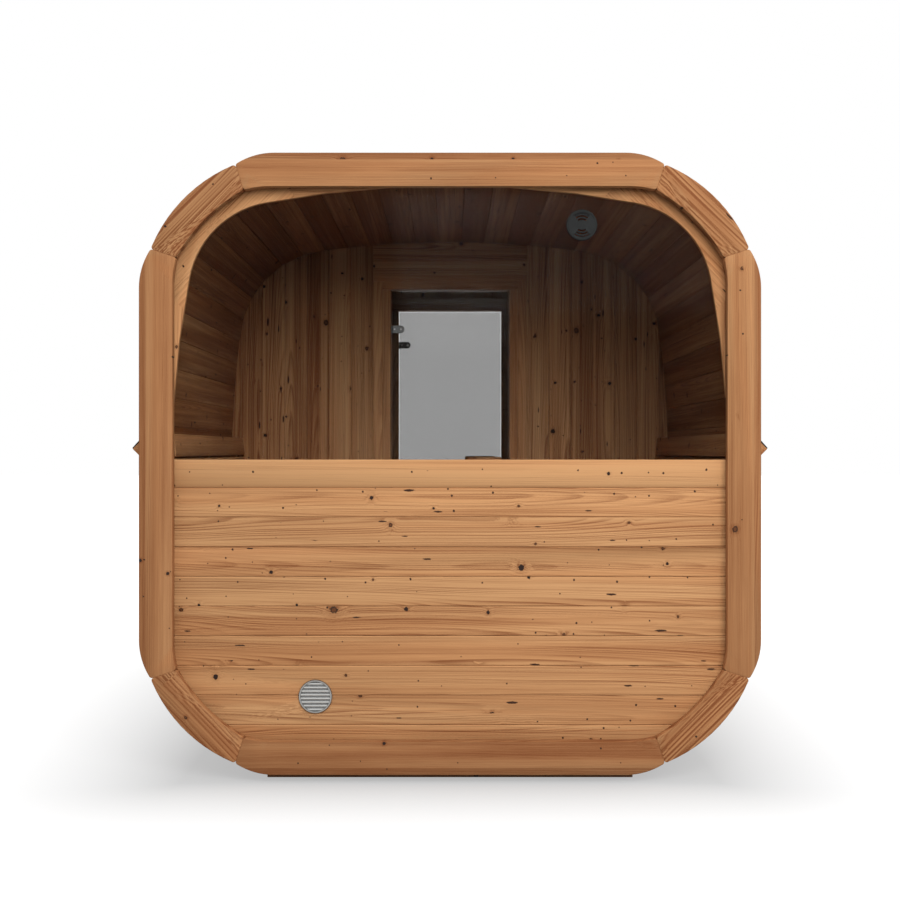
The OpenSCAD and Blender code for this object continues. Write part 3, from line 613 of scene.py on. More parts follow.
def glass_material():
    """Tinted glass. Lamps shine through it unbent, by the ray's kind."""
    material, n, shader, output = new_material("Tinted glass")
    tint = tuple(bpy.context.scene.sauna_glass.tint)
    n.join(tint, shader.inputs["Base Color"])
    for socket, value in (("Roughness", 0.0), ("IOR", 1.08), ("Transmission Weight", 1.0)):
        shader.inputs[socket].default_value = value
    clear = n.add("ShaderNodeBsdfTransparent", {0: (0.78, 0.78, 0.78)})
    ray = n.add("ShaderNodeLightPath").outputs["Is Shadow Ray"]
    both = n.add("ShaderNodeMixShader", {0: ray, 1: shader.outputs[0], 2: clear.outputs[0]})
    n.join(both.outputs[0], output.inputs["Surface"])
    return material


def felt_material():
    """Black roofing felt with mineral grit."""
    material, n, shader, _ = new_material("Roofing felt")
    felt = tuple(bpy.context.scene.sauna_roofing.felt)
    place = n.add("ShaderNodeTexCoord").outputs["Object"]
    tile = n.add("ShaderNodeAttribute", attribute_name="tile").outputs["Fac"]
    grit = place_group(n, "Grit", {"Place": place, "Grain Size": 0.0018})
    cloud = n.noise(place, detail=3.0, scale=2.5)[0]
    pale = n.math("MULTIPLY", n.math("POWER", grit["Value"], 3.0), n.math("MULTIPLY_ADD", cloud, 0.5, 0.1))
    pale = n.math("MULTIPLY_ADD", tile, 0.16, pale, clamp=True)
    n.join(n.mix(pale, felt, tuple(4.5 * c for c in felt)), shader.inputs["Base Color"])
    n.join(n.math("MULTIPLY_ADD", grit["Value"], 0.15, 0.8), shader.inputs["Roughness"])
    n.join(bump(n, grit["Height"], 0.0008), shader.inputs["Normal"])
    return material


def metal_material(name, colour, roughness, brush):
    """Brushed metal: fine scratches stretched along one of the object's axes."""
    material, n, shader, _ = new_material(name)
    place = n.add("ShaderNodeTexCoord").outputs["Object"]
    lines = n.noise(n.vector("MULTIPLY", place, brush), detail=3.0, roughness=0.6)[0]
    smears = n.noise(place, detail=2.0, scale=30.0)[0]
    worn = n.math("MULTIPLY_ADD", lines, 0.5, n.math("MULTIPLY", smears, 0.3), clamp=True)
    n.join(n.mix(worn, colour, tuple(0.6 * c for c in colour)), shader.inputs["Base Color"])
    n.join(n.math("MULTIPLY_ADD", lines, 0.25, roughness), shader.inputs["Roughness"])
    n.join(bump(n, lines, 0.0001), shader.inputs["Normal"])
    shader.inputs["Metallic"].default_value = 1.0
    return material


def plastic_material():
    """Dark matt moulding with a fine grit."""
    material, n, shader, _ = new_material("Moulded plastic")
    colour = tuple(bpy.context.scene.sauna_fittings.plastic)
    place = n.add("ShaderNodeTexCoord").outputs["Object"]
    grit = place_group(n, "Grit", {"Place": place, "Grain Size": 0.0005})
    dust = n.noise(place, detail=3.0, scale=25.0)[0]
    n.join(n.mix(n.step(dust, 0.35, 0.8), colour, tuple(1.35 * c for c in colour)), shader.inputs["Base Color"])
    n.join(n.math("MULTIPLY_ADD", dust, 0.2, 0.45), shader.inputs["Roughness"])
    n.join(bump(n, grit["Height"], 0.0001), shader.inputs["Normal"])
    shader.inputs["Specular IOR Level"].default_value = 0.2
    return material


# Boards from the frame's solids


def island_numbers(count, edges):
    """Which separate solid each point belongs to: every point takes the lowest number among its
    neighbours, again and again, until none changes."""
    label = np.arange(count)
    while True:
        low = np.minimum(label[edges[:, 0]], label[edges[:, 1]])
        new = label.copy()
        np.minimum.at(new, edges[:, 0], low)
        np.minimum.at(new, edges[:, 1], low)
        new = new[new]
        if np.array_equal(new, label):
            return np.unique(label, return_inverse=True)[1]
        label = new


def board_axes(points, run):
    """The board's own directions (along, across, through): along is the given axis, the longest
    axis of its box, or the direction in which its points spread most; across is the direction of
    most spread at right angles to it."""
    spread = points - points.mean(0)
    if run == "OWN":
        along = np.linalg.eigh(spread.T @ spread)[1][:, 2]
    elif run == "LONG":
        along = np.eye(3)[np.argmax(np.ptp(points, axis=0))]
    else:
        along = np.array(AXES[run], float)
    flat = spread - np.outer(spread @ along, along)
    across = np.linalg.eigh(flat.T @ flat)[1][:, 2]
    through = np.cross(along, across)
    out = np.array((0.0, -1.0, 0.0)) if abs(through[1]) > 0.5 else points.mean(0) - (0, 0, SHELL_CENTRE_Z)
    if through @ out < 0:
        across, through = -across, -through
    return np.array((along, across, through))


def board_piece(node, run, wood, slot):
    """A copy of the node's solids with equal points merged, flat faces made one, each edge given
    a small bevel, and the attributes grain and board written on each point."""
    source = frame["nodes"][node]
    mesh = source.data.copy()
    mesh.name = f"{node}.boards"
    mesh.materials.clear()
    work = bmesh.new()
    work.from_mesh(mesh)
    bmesh.ops.remove_doubles(work, verts=work.verts, dist=1e-5)
    bmesh.ops.dissolve_limit(work, angle_limit=math.radians(0.4), verts=work.verts, edges=work.edges)
    work.to_mesh(mesh)
    work.free()
    count = len(mesh.vertices)
    points = np.empty(count * 3)
    mesh.vertices.foreach_get("co", points)
    points = points.reshape(-1, 3)
    edges = np.empty(len(mesh.edges) * 2, int)
    mesh.edges.foreach_get("vertices", edges)
    label = island_numbers(count, edges.reshape(-1, 2))
    number = label.max() + 1
    middles = np.array([points[label == k].mean(0) for k in range(number)])
    order = np.lexsort(np.round(middles.T, 2))
    draws = np.random.default_rng(SEED + sum(map(ord, node))).random(number)
    grain = np.empty((count, 3))
    board = np.empty(count)
    for place, k in enumerate(order):
        own = label == k
        centre = (points[own].max(0) + points[own].min(0)) / 2
        grain[own] = (points[own] - centre) @ board_axes(points[own], run).T
        board[own] = draws[place]
    mesh.attributes.new("grain", "FLOAT_VECTOR", "POINT").data.foreach_set("vector", grain.ravel())
    mesh.attributes.new("board", "FLOAT", "POINT").data.foreach_set("value", board)
    mesh.polygons.foreach_set("use_smooth", np.ones(len(mesh.polygons), bool))
    mesh.materials.append(wood_material(wood))
    piece = bpy.data.objects.new(f"{node}.dressed", mesh)
    bpy.context.scene.collection.objects.link(piece)
    bevel = piece.modifiers.new("Arris", "BEVEL")
    bevel.width = bpy.context.scene.sauna_timber.arris
    bevel.segments = 2
    bevel.limit_method = "ANGLE"
    bevel.angle_limit = math.radians(33)
    bevel.use_clamp_overlap = False
    bevel.harden_normals = True
    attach(piece, source["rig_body"])
    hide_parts(node)
    return piece


def finish_node(node, material, slot=None):
    """A node of the frame that stays as it is and gets a material of its own."""
    mesh = frame["nodes"][node].data
    mesh.materials.clear()
    mesh.materials.append(material)


# Surfaces worked out in numpy


def add_surface(name, points, faces, material, nodes=(), body="root", values=None):
    """Makes one piece of the points and faces, closes its poles and doubled edges, and hides the
    nodes that it stands for. Values are a number per point for the attribute tile."""
    mesh = bpy.data.meshes.new(name)
    mesh.from_pydata(points.reshape(-1, 3).tolist(), [], faces.tolist())
    if values is not None:
        mesh.attributes.new("tile", "FLOAT", "POINT").data.foreach_set("value", values.ravel())
    work = bmesh.new()
    work.from_mesh(mesh)
    bmesh.ops.remove_doubles(work, verts=work.verts, dist=1e-6)
    bmesh.ops.recalc_face_normals(work, faces=work.faces)
    work.to_mesh(mesh)
    work.free()
    mesh.materials.append(material)
    piece = bpy.data.objects.new(name, mesh)
    bpy.context.scene.collection.objects.link(piece)
    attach(piece, body)
    if nodes:
        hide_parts(*nodes)
    return piece


def smooth_by_angle(piece, degrees):
    """Smooth shading, but sharp where two faces meet at more than the angle."""
    mesh = piece.data
    mesh.polygons.foreach_set("use_smooth", np.ones(len(mesh.polygons), bool))
    mesh.set_sharp_from_angle(angle=math.radians(degrees))


def loop_faces(rows, columns, first=0):
    """The faces of a grid of points that closes on itself in both directions."""
    row, column = np.meshgrid(np.arange(rows), np.arange(columns), indexing="ij")
    next_row, next_column = (row + 1) % rows, (column + 1) % columns
    corners = (row, column), (row, next_column), (next_row, next_column), (next_row, column)
    return first + np.stack([a * columns + b for a, b in corners], -1).reshape(-1, 4)


def turned_loop(profile, middle, outward, steps):
    """A closed profile (radius, height) turned about an axis along the outward direction through
    middle: each point is middle + radius (cos t across + sin t up) + height outward."""
    outward = np.array(outward, float)
    across = np.cross((0.0, 0.0, 1.0), outward)
    up = np.cross(outward, across)
    turn = np.linspace(0.0, 2.0 * np.pi, steps, endpoint=False)[:, None, None]
    radius, height = np.array(profile, float).T[:, None, :, None]
    points = np.array(middle) + radius * (np.cos(turn) * across + np.sin(turn) * up) + height * outward
    return points.reshape(-1, 3), loop_faces(steps, len(profile))


def joined(parts):
    """Points and faces of many parts as one pair."""
    counts = np.cumsum([0] + [len(points) for points, _ in parts[:-1]])
    faces = [faces + first for (_, faces), first in zip(parts, counts)]
    return np.concatenate([points for points, _ in parts]), np.concatenate(faces)


def shell_outline(run, out):
    """The rounded square's point and outward normal at each run along its inner face, from the
    middle of the top to the right, set out by a distance. It is a flat arc, then a corner arc,
    then the next side's flat arc, which is the first one mirrored in the diagonal."""
    back = SIDE_RADIUS - SHELL_HALF
    reach = SIDE_RADIUS - CORNER_RADIUS
    middle = (math.sqrt(2.0 * reach**2 - back**2) - back) / 2.0
    angle = math.atan2(middle, middle + back)
    side_run = SIDE_RADIUS * angle
    quarter = 2.0 * side_run + CORNER_RADIUS * (math.pi / 2.0 - 2.0 * angle)
    size = np.abs(run)
    on_corner = (size > side_run) & (size < quarter - side_run)
    on_side = size >= quarter - side_run
    turn = np.where(on_side, math.pi / 2.0 - (quarter - size) / SIDE_RADIUS, size / SIDE_RADIUS)
    turn = np.where(on_corner, angle + (size - side_run) / CORNER_RADIUS, turn)
    radius = np.where(on_corner, CORNER_RADIUS, SIDE_RADIUS)
    normal = np.stack((np.sin(turn), np.cos(turn)), -1)
    centre = np.where(
        on_corner[..., None], (middle, middle), np.where(on_side[..., None], (-back, 0.0), (0.0, -back))
    )
    point = centre + (radius + out)[..., None] * normal
    side = np.where(run < 0.0, -1.0, 1.0)
    return (
        np.stack((point[..., 0] * side, point[..., 1] + SHELL_CENTRE_Z), -1),
        np.stack((normal[..., 0] * side, normal[..., 1]), -1),
    )


def bent_slabs(run, y, low, high):
    """Closed slabs laid round the shell, one per row. Run (rows, n) is the place round the shell,
    y (rows, 2) both ends, low and high (rows, n) the distances of the under and upper face outside
    the staves' inner face."""
    rows, n = run.shape
    out = np.concatenate((high, low[:, ::-1]), 1)
    points, _ = shell_outline(np.concatenate((run, run[:, ::-1]), 1), out)
    ring = 2 * n
    grid = np.empty((rows, 2, ring, 3))
    grid[..., 0] = points[:, None, :, 0]
    grid[..., 1] = y[:, :, None]
    grid[..., 2] = points[:, None, :, 1]
    place = np.arange(ring)
    belt = np.stack((place, (place + 1) % ring, ring + (place + 1) % ring, ring + place), -1)
    step = np.arange(n - 1)
    cap = np.stack((step, step + 1, ring - 2 - step, ring - 1 - step), -1)
    faces = np.concatenate((belt, cap, cap + ring))
    faces = faces[None] + (np.arange(rows) * 2 * ring)[:, None, None]
    return grid.reshape(-1, 3), faces.reshape(-1, 4)


# Operators


class SAUNA_OT_materials(bpy.types.Operator):
    """Builds the shared wood and grit groups"""

    bl_idname = "sauna.materials"
    bl_label = "Shared materials"

    def execute(self, context):
        softwood_group()
        mitred_group()
        grit_group()
        return {"FINISHED"}


class BoardsOperator:
    """What the operators for timber share: each row of rows becomes one piece."""

    rows = ()

    def execute(self, context):
        for row in self.rows:
            board_piece(*row)
        return {"FINISHED"}


class SAUNA_OT_rings(BoardsOperator, bpy.types.Operator):
    """Dresses the two end rings' beams and corner timbers"""

    bl_idname = "sauna.rings"
    bl_label = "End rings"
    rows = RING_TIMBERS


class SAUNA_OT_staves(BoardsOperator, bpy.types.Operator):
    """Dresses the staves of the shell"""

    bl_idname = "sauna.staves"
    bl_label = "Staves"
    rows = STAVES


class SAUNA_OT_end_walls(BoardsOperator, bpy.types.Operator):
    """Dresses the end walls, the window frame and the outer door's frame"""

    bl_idname = "sauna.end_walls"
    bl_label = "End walls"
    rows = END_WALLS


class SAUNA_OT_inside(BoardsOperator, bpy.types.Operator):
    """Dresses the partition, benches, backrests and floors"""

    bl_idname = "sauna.inside"
    bl_label = "Inside"
    rows = INSIDE


class SAUNA_OT_outside(BoardsOperator, bpy.types.Operator):
    """Dresses the bearers and the drip battens"""

    bl_idname = "sauna.outside"
    bl_label = "Bearers and battens"
    rows = OUTSIDE


class SAUNA_OT_handles(BoardsOperator, bpy.types.Operator):
    """Dresses the door handles"""

    bl_idname = "sauna.handles"
    bl_label = "Door handles"
    rows = HANDLES


class SAUNA_OT_panes(bpy.types.Operator):
    """Gives the window and the doors their tinted glass"""

    bl_idname = "sauna.panes"
    bl_label = "Panes"

    def execute(self, context):
        glass = glass_material()
        for node in ("rear_window_glass", "inner_door_glass", "outer_door_glass"):
            finish_node(node, glass)
        return {"FINISHED"}


class SAUNA_OT_roofing(bpy.types.Operator):
    """Lays the felt: an underlay, courses of shingles with slots, and a strip over each batten"""

    bl_idname = "sauna.roofing"
    bl_label = "Roofing"

    def execute(self, context):
        look = context.scene.sauna_roofing
        felt = felt_material()
        low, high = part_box("roofing")
        lap_z, tip_x = low[2], high[0]
        end_y = high[1]
        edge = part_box("drip_battens")[1]
        foot = self.run_to_height(edge[2] + 0.002)
        base = STAVE_THICKNESS + 0.0004

        # Underlay: one slab on either side of the ridge
        steps = np.linspace(0.0, 1.0, 61)
        run = np.stack((steps * foot, -steps * foot))
        flat = np.ones_like(run)
        underlay = bent_slabs(run, np.array([[-end_y, end_y]] * 2), flat * base, flat * (base + 0.0016))

        # Shingles: tabs in courses, thick at the lower edge, each course over the one below
        courses = max(1, round(foot / look.course))
        course = foot / courses
        tabs = max(1, round(2.0 * end_y / look.tab))
        tab = 2.0 * end_y / tabs
        draw = np.random.default_rng(SEED)
        rows, ends, tops, tones = [], [], [], []
        for side in (-1.0, 1.0):
            for number in range(courses):
                lower = (number + 1) * course
                upper = max(number * course - 0.02, 0.0)
                offset = 0.5 * (number % 2)
                edges = np.clip(-end_y + (np.arange(tabs + 2) - offset) * tab, -end_y, end_y)
                starts, stops = edges[:-1], edges[1:]
                keep = stops - starts > 0.02
                starts, stops = starts[keep], stops[keep]
                count = len(starts)
                inner = np.where(starts > -end_y, look.slot / 2.0, 0.0)
                outer = np.where(stops < end_y, look.slot / 2.0, 0.0)
                ends.append(np.stack((starts + inner, stops - outer), -1))
                uneven = draw.uniform(-0.0012, 0.0012, (count, 1))
                rows.append(side * (upper + (lower - upper + uneven) * np.linspace(0.0, 1.0, 4)))
                tops.append(np.full((count, 1), look.thickness) + draw.uniform(-0.0003, 0.0003, (count, 1)))
                tones.append(draw.random(count))
        run, ends, tops = np.concatenate(rows), np.concatenate(ends), np.concatenate(tops)
        rise = np.linspace(0.0, 1.0, 4)[None, :] * look.thickness
        seat = base + 0.0018
        under = seat + 0.6 * rise + np.zeros_like(run)
        slabs = bent_slabs(run, ends, under, under + tops * np.linspace(0.7, 1.0, 4))

        # Ridge cap and the strips over the battens
        cap_run = np.linspace(-0.11, 0.11, 7)[None, :]
        cap_top = seat + look.thickness * 1.7
        cap_low = np.full_like(cap_run, cap_top - look.thickness)
        ridge = bent_slabs(cap_run, np.array([[-end_y, end_y]]), cap_low, np.full_like(cap_run, cap_top))
        strips = [self.lap_strip(side, tip_x, lap_z, edge, end_y) for side in (-1.0, 1.0)]
        parts = [underlay, slabs, ridge, *strips]
        points, faces = joined(parts)
        shades = [np.full(len(part[0]), 0.3) for part in parts]
        shades[1] = np.repeat(np.concatenate(tones), slabs[0].shape[0] // len(run))
        add_surface("roofing.shingles", points, faces, felt, ("roofing",), values=np.concatenate(shades))
        return {"FINISHED"}

    @staticmethod
    def run_to_height(height):
        """The run round the shell, from the top, at which its outer face comes down to a height."""
        run = np.linspace(0.0, 2.4, 4801)
        point, _ = shell_outline(run, np.full_like(run, STAVE_THICKNESS))
        return float(run[np.argmax(point[:, 1] < height)])

    @staticmethod
    def lap_strip(side, tip_x, lap_z, edge, end_y):
        """The felt that turns out over a batten's upper slope: a flat slab at 45 degrees from the
        batten's tip up to the staves and 60 mm up them."""
        thick = 0.0032
        tip = np.array((tip_x, lap_z + 0.0002))
        wall = np.array((edge[0] - (edge[2] - lap_z) + 0.0030, edge[2] + 0.0015))
        climb = np.array((wall[0] - 0.0020, wall[1] + 0.060))
        inner = np.array((tip, tip + (wall - tip) * 0.5, wall, climb))
        out = np.array(((0.0, 1.0), (0.7071, 0.7071), (0.9, 0.4), (1.0, 0.0))) * thick
        out[0] = (0.0, thick * 1.4142)
        outline = np.concatenate((inner, (inner + out)[::-1]))
        ring = len(outline)
        points = np.empty((2, ring, 3))
        points[..., 0] = outline[:, 0] * side
        points[..., 2] = outline[:, 1]
        points[:, :, 1] = np.array((-end_y, end_y))[:, None]
        place = np.arange(ring)
        belt = np.stack((place, (place + 1) % ring, ring + (place + 1) % ring, ring + place), -1)
        step = np.arange(3)
        cap = np.stack((step, step + 1, ring - 2 - step, ring - 1 - step), -1)
        return points.reshape(-1, 3), np.concatenate((belt, cap, cap + ring))


class SAUNA_OT_hardware(bpy.types.Operator):
    """Finishes the hinges and brackets, and sets their socket screws"""

    bl_idname = "sauna.hardware"
    bl_label = "Door hardware"

    def execute(self, context):
        steel = metal_material("Brushed steel", tuple(context.scene.sauna_fittings.steel), 0.28, (40.0, 900.0, 900.0))
        screw_steel = metal_material("Screw heads", (0.62, 0.62, 0.61), 0.22, (500.0, 500.0, 500.0))
        for door in ("inner", "outer"):
            for part, columns, both in (("brackets", (-0.3255, -0.3075), False), ("hinges", (-0.2800, -0.2480), True)):
                node = f"{door}_door_{part}"
                finish_node(node, steel)
                low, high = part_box(node)
                pane_low, pane_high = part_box(f"{door}_door_glass")
                heads = []
                for z in (low[2] + 0.019, high[2] - 0.019):
                    for x in columns:
                        if both:
                            heads.append(screw_head((x, pane_high[1] + 0.005, z), 1.0))
                            heads.append(screw_head((x, pane_low[1] - 0.005, z), -1.0))
                        else:
                            heads += [screw_head((x, low[1] + 0.004, z + up), 1.0) for up in (-0.0115, 0.0115)]
                points, faces = joined(heads)
                body = frame["nodes"][node]["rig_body"]
                piece = add_surface(f"{node}.screws", points, faces, screw_steel, (), body)
                smooth_by_angle(piece, 35)
        return {"FINISHED"}


def screw_head(middle, side):
    """A low round screw head with a round socket, turned about the Y axis; side is the way out."""
    profile = (
        (0.0, 0.0), (0.0044, 0.0), (0.0044, 0.0008), (0.0038, 0.0016), (0.0026, 0.0020),
        (0.0020, 0.0019), (0.0019, 0.0006), (0.0, 0.0006),
    )
    return turned_loop(profile, middle, (0.0, side, 0.0), 16)


class SAUNA_OT_vent(bpy.types.Operator):
    """Makes the window vent: a rimmed plate with two fans of curved slots, its collar and ring"""

    bl_idname = "sauna.vent"
    bl_label = "Window vent"

    def execute(self, context):
        plastic = plastic_material()
        low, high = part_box("rear_window_vent")
        pane_low, pane_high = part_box("rear_window_glass")
        centre = np.array(((low[0] + high[0]) / 2.0, pane_low[1], (low[2] + high[2]) / 2.0))
        half = (high[0] - low[0]) / 2.0
        radii = np.array((0.0, 0.19, 0.34, 0.43, 0.53, 0.62, 0.72, 0.81, 0.86, 0.89, 0.93, 0.97, 0.99, 1.0)) * half
        heights = np.array((3.2, 3.2, 3.2, 3.2, 3.2, 3.2, 3.2, 3.2, 3.3, 5.0, 6.2, 6.2, 5.0, 0.3)) * 0.001
        steps = 144
        turn = np.linspace(0.0, 2.0 * np.pi, steps, endpoint=False)
        points = np.empty((len(radii), steps, 3))
        points[..., 0] = centre[0] + radii[:, None] * np.cos(turn)
        points[..., 1] = centre[1] - heights[:, None]
        points[..., 2] = centre[2] + radii[:, None] * np.sin(turn)
        row, column = np.meshgrid(np.arange(len(radii) - 1), np.arange(steps), indexing="ij")
        following = (column + 1) % steps
        faces = np.stack(
            (row * steps + column, row * steps + following, (row + 1) * steps + following, (row + 1) * steps + column), -1
        )
        middle = np.degrees(turn[column] + np.pi / steps)
        slotted = np.isin(row, (2, 4, 6)) & (np.abs(np.abs(middle - 180.0) - 90.0) < 41.0)
        plate = add_surface(
            "rear_window_vent.plate", points, faces[~slotted], plastic, ("rear_window_vent",)
        )
        smooth_by_angle(plate, 35)
        wall = plate.modifiers.new("Wall", "SOLIDIFY")
        wall.thickness = 0.0022
        wall.offset = -1.0
        bore, sleeve = half - 0.014, half - 0.0105
        pane = pane_high[1] - pane_low[1]
        back = pane + (high[1] - pane_high[1])
        ring = (
            (bore, -0.001), (sleeve, -0.001), (sleeve, -pane), (half, -pane), (half, 0.002 - back),
            (half - 0.003, -back), (bore, -back),
        )
        points, faces = turned_loop(ring, centre, (0.0, -1.0, 0.0), 72)
        collar = add_surface(
            "rear_window_vent.collar", points, faces, plastic, ("rear_window_vent",)
        )
        smooth_by_angle(collar, 35)
        return {"FINISHED"}


class SAUNA_OT_grille(bpy.types.Operator):
    """Makes the wall grille: a turned rim, curved louvres and a screen behind them"""

    bl_idname = "sauna.grille"
    bl_label = "Wall grille"

    def execute(self, context):
        look = context.scene.sauna_fittings
        rim_metal = metal_material("Grille rim", tuple(0.62 * c for c in look.aluminium), 0.30, (60.0, 900.0, 900.0))
        louvre_metal = metal_material("Grille louvres", tuple(look.aluminium), 0.38, (40.0, 900.0, 900.0))
        low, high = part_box("rear_wall_grille")
        wall_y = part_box("rear_wall_boards")[0][1]
        half = (high[0] - low[0]) / 2.0
        centre = np.array(((low[0] + high[0]) / 2.0, wall_y, (low[2] + high[2]) / 2.0))
        inner = half - 0.009
        rim = (
            (inner, 0.0005), (inner, 0.0052), (inner + 0.0012, 0.0078), (inner + 0.0035, 0.0090),
            (half - 0.0030, 0.0085), (half - 0.0008, 0.0060), (half, 0.0030), (half, 0.0005),
        )
        sleeve = ((0.0455, 0.0010), (0.0455, -0.0250), (0.0494, -0.0250), (0.0494, 0.0010))
        screen = ((0.0, 0.0006), (inner + 0.0005, 0.0006), (inner + 0.0005, 0.0014), (0.0, 0.0014))
        out = (0.0, -1.0, 0.0)
        points, faces = joined([turned_loop(rim, centre, out, 96), turned_loop(sleeve, centre, out, 48)])
        piece = add_surface("rear_wall_grille.rim", points, faces, rim_metal, ("rear_wall_grille",))
        smooth_by_angle(piece, 30)
        points, faces = turned_loop(screen, centre, out, 48)
        add_surface("rear_wall_grille.screen", points, faces, screen_material(), ("rear_wall_grille",))
        points, faces = self.louvres(centre, inner)
        piece = add_surface("rear_wall_grille.louvres", points, faces, louvre_metal, ("rear_wall_grille",))
        smooth_by_angle(piece, 40)
        return {"FINISHED"}

    @staticmethod
    def louvres(centre, inner):
        """Eight louvres: each is a closed blade section (up, out) that leans out at its foot,
        carried across the grille and ended where it meets the rim's circle."""
        count = 8
        pitch = 2.0 * inner / count
        lean = np.radians(np.linspace(-40.0, 55.0, 6))
        face = np.stack((-0.0042 * np.sin(lean) * 1.15, 0.0016 + 0.0040 * np.cos(lean)), -1)
        under = face[::-1] - (0.0, 0.0011)
        section = np.concatenate((face, under))
        height = (np.arange(count) + 0.5) * pitch - inner
        up = height[:, None] + section[None, :, 0]
        wide = np.sqrt(np.maximum((inner + 0.0006) ** 2 - up**2, 1e-8))
        ring = section.shape[0]
        grid = np.empty((count, 2, ring, 3))
        grid[..., 0] = centre[0] + np.stack((-wide, wide), 1)
        grid[..., 1] = centre[1] - section[None, None, :, 1]
        grid[..., 2] = centre[2] + up[:, None, :]
        place = np.arange(ring)
        belt = np.stack((place, (place + 1) % ring, ring + (place + 1) % ring, ring + place), -1)
        step = np.arange(ring // 2 - 1)
        cap = np.stack((step, step + 1, ring - 2 - step, ring - 1 - step), -1)
        faces = np.concatenate((belt, cap, cap + ring))
        faces = faces[None] + (np.arange(count) * 2 * ring)[:, None, None]
        return grid.reshape(-1, 3), faces.reshape(-1, 4)


def screen_material():
    """Fine wire screen: woven dark and pale threads a millimetre apart."""
    material, n, shader, _ = new_material("Wire screen")
    x, _, z = n.separate(n.add("ShaderNodeTexCoord").outputs["Object"])
    thread = n.math("MULTIPLY", n.math("SINE", n.math("MULTIPLY", x, 5200.0)), n.math("SINE", n.math("MULTIPLY", z, 5200.0)))
    n.join(n.mix(n.step(thread, -0.4, 0.6), (0.16, 0.16, 0.16), (0.34, 0.34, 0.33)), shader.inputs["Base Color"])
    n.join(n.math("MULTIPLY_ADD", thread, 0.1, 0.6), shader.inputs["Roughness"])
    n.join(bump(n, thread, 0.0002), shader.inputs["Normal"])
    return material


def seen_directly(n):
    """1 for the rays that see the studio as white: those of the camera, of mirrors and of glass,
    unless they have met a matt surface first, where they only bring light."""
    path = n.add("ShaderNodeLightPath").outputs
    through = n.math("MAXIMUM", path["Is Glossy Ray"], path["Is Transmission Ray"])
    through = n.math("MULTIPLY", through, n.math("LESS_THAN", path["Diffuse Depth"], 0.5))
    return n.math("MAXIMUM", path["Is Camera Ray"], through)


def pale_stage_material():
    """The studio floor: grey to the light that it throws back on the cabin, white where it is
    seen, with the cabin's shadow left on it. Its own light dims towards the cabin's foot as a
    painted contact shadow: the far value less a share of e to the power of minus the distance
    over the reach."""
    material, n, shader, output = new_material("Studio floor")
    n.join((0.22, 0.22, 0.22), shader.inputs["Base Color"])
    shader.inputs["Roughness"].default_value = 0.9
    shader.inputs["Specular IOR Level"].default_value = 0.0
    x, y, _ = n.separate(n.add("ShaderNodeTexCoord").outputs["Object"])
    beside = n.math("MAXIMUM", n.math("SUBTRACT", n.math("ABSOLUTE", x), FOOT_HALF_WIDTH), 0.0)
    beyond = n.math("MAXIMUM", n.math("SUBTRACT", n.math("ABSOLUTE", y), FOOT_HALF_LENGTH), 0.0)
    away = n.vector("LENGTH", n.combine(beside, beyond, 0.0))
    # Painted contact shadow: the floor's own light dims near the cabin's foot
    painted_shadow_fall = n.math("EXPONENT", n.math("DIVIDE", away, -0.7))
    glow_less_painted_shadow = n.math("MULTIPLY_ADD", painted_shadow_fall, -0.61, 1.06)
    light = n.add("ShaderNodeEmission", {"Color": (1.0, 1.0, 1.0), "Strength": n.math("MULTIPLY", seen_directly(n), glow_less_painted_shadow)})
    both = n.add("ShaderNodeAddShader", {0: shader.outputs[0], 1: light.outputs[0]})
    n.join(both.outputs[0], output.inputs["Surface"])
    return material


def area_lamp(name, place, aim, size, power):
    lamp = bpy.data.lights.new(name, "AREA")
    lamp.shape = "SQUARE"
    lamp.size = size
    lamp.energy = power
    holder = bpy.data.objects.new(name, lamp)
    bpy.context.scene.collection.objects.link(holder)
    holder.visible_glossy = False
    holder.location = place
    holder.rotation_euler = (Vector(aim) - Vector(place)).to_track_quat("-Z", "Y").to_euler()
    return holder


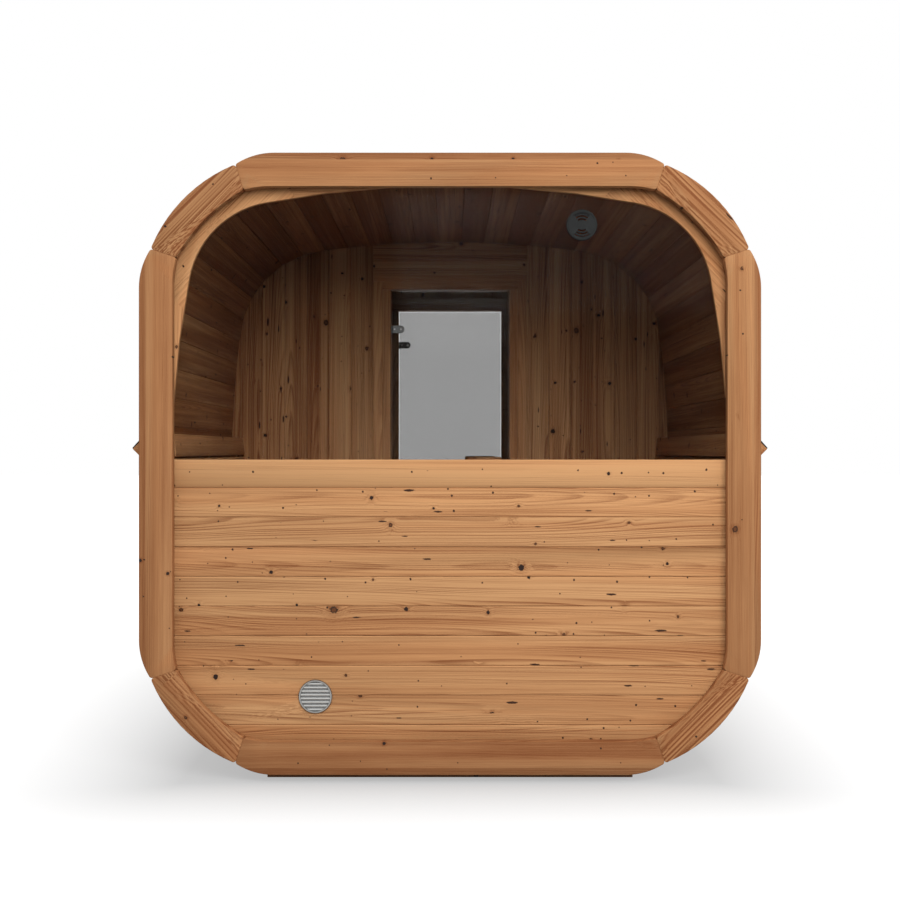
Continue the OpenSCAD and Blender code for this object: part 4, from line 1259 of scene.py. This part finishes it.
class SAUNA_OT_stage(bpy.types.Operator):
    """Sets the pale floor, the soft lamps and the photograph's camera"""

    bl_idname = "sauna.stage"
    bl_label = "Stage"

    def execute(self, context):
        scene = context.scene
        look = scene.sauna_stage
        half = look.floor_size / 2
        corners = np.array(((-1, -1), (1, -1), (1, 1), (-1, 1)), float) * half
        mesh = bpy.data.meshes.new("studio_floor")
        mesh.from_pydata(np.column_stack((corners, np.full(4, -0.0005))).tolist(), [], [(0, 1, 2, 3)])
        mesh.materials.append(pale_stage_material())
        floor = bpy.data.objects.new("studio_floor", mesh)
        scene.collection.objects.link(floor)

        scene.view_settings.view_transform = "Standard"
        world = bpy.data.worlds.new("Studio")
        scene.world = world
        world.use_nodes = True
        world.node_tree.nodes.clear()
        n = Nodes(world.node_tree)
        # White where it is seen; as light, weak at the horizon and strong overhead
        height = n.math("MAXIMUM", n.separate(n.add("ShaderNodeTexCoord").outputs["Generated"])[2], 0.0)
        even = n.math("MULTIPLY", n.math("MULTIPLY_ADD", height, 1.27, 0.46), look.ambient)
        strength = n.math("MULTIPLY_ADD", seen_directly(n), n.math("SUBTRACT", 1.0, even), even)
        sky = n.add("ShaderNodeBackground", {"Color": (1.0, 1.0, 1.0), "Strength": strength})
        output = n.add("ShaderNodeOutputWorld")
        n.join(sky.outputs[0], output.inputs["Surface"])

        area_lamp("Key lamp", (1.2, -7.0, 4.0), (0.0, -1.4, 1.2), 3.6, look.key)
        area_lamp("Side lamp", (7.0, 1.5, 3.6), (0.0, 0.0, 1.0), 3.5, look.key * 0.45)

        camera = bpy.data.cameras.new("Photo camera")
        camera.lens = look.lens
        camera.sensor_width = 36.0
        camera.clip_end = 200.0
        holder = bpy.data.objects.new("Photo camera", camera)
        scene.collection.objects.link(holder)
        holder.location = (0.0, -look.camera_back, look.camera_height)
        holder.rotation_euler = (math.radians(90), 0.0, 0.0)
        scene.camera = holder
        return {"FINISHED"}


class SAUNA_PT_panel(bpy.types.Panel):
    """The cabin's settings and the buttons that build it"""

    bl_label = "Sauna cabin"
    bl_idname = "SAUNA_PT_panel"
    bl_space_type = "VIEW_3D"
    bl_region_type = "UI"
    bl_category = "Sauna"

    def draw(self, context):
        for name in SETTINGS:
            group = getattr(context.scene, name)
            box = self.layout.box()
            for key in group.__annotations__:
                box.prop(group, key)
        for operator in OPERATORS:
            self.layout.operator(operator.bl_idname)


SETTINGS = {
    "sauna_timber": CabinTimber,
    "sauna_glass": CabinGlass,
    "sauna_roofing": CabinRoofing,
    "sauna_fittings": CabinFittings,
    "sauna_stage": CabinStage,
}
OPERATORS = (
    SAUNA_OT_stage,
    SAUNA_OT_materials,
    SAUNA_OT_rings,
    SAUNA_OT_staves,
    SAUNA_OT_end_walls,
    SAUNA_OT_inside,
    SAUNA_OT_outside,
    SAUNA_OT_handles,
    SAUNA_OT_panes,
    SAUNA_OT_roofing,
    SAUNA_OT_hardware,
    SAUNA_OT_vent,
    SAUNA_OT_grille,
)


def register():
    for kind in (*SETTINGS.values(), *OPERATORS, SAUNA_PT_panel):
        bpy.utils.register_class(kind)
    for name, kind in SETTINGS.items():
        setattr(bpy.types.Scene, name, PointerProperty(type=kind))


def unregister():
    for name in SETTINGS:
        delattr(bpy.types.Scene, name)
    for kind in (SAUNA_PT_panel, *reversed(OPERATORS), *SETTINGS.values()):
        bpy.utils.unregister_class(kind)


def main():
    register()
    for operator in OPERATORS:
        group, name = operator.bl_idname.split(".")
        getattr(getattr(bpy.ops, group), name)()


if __name__ == "__main__":
    main()
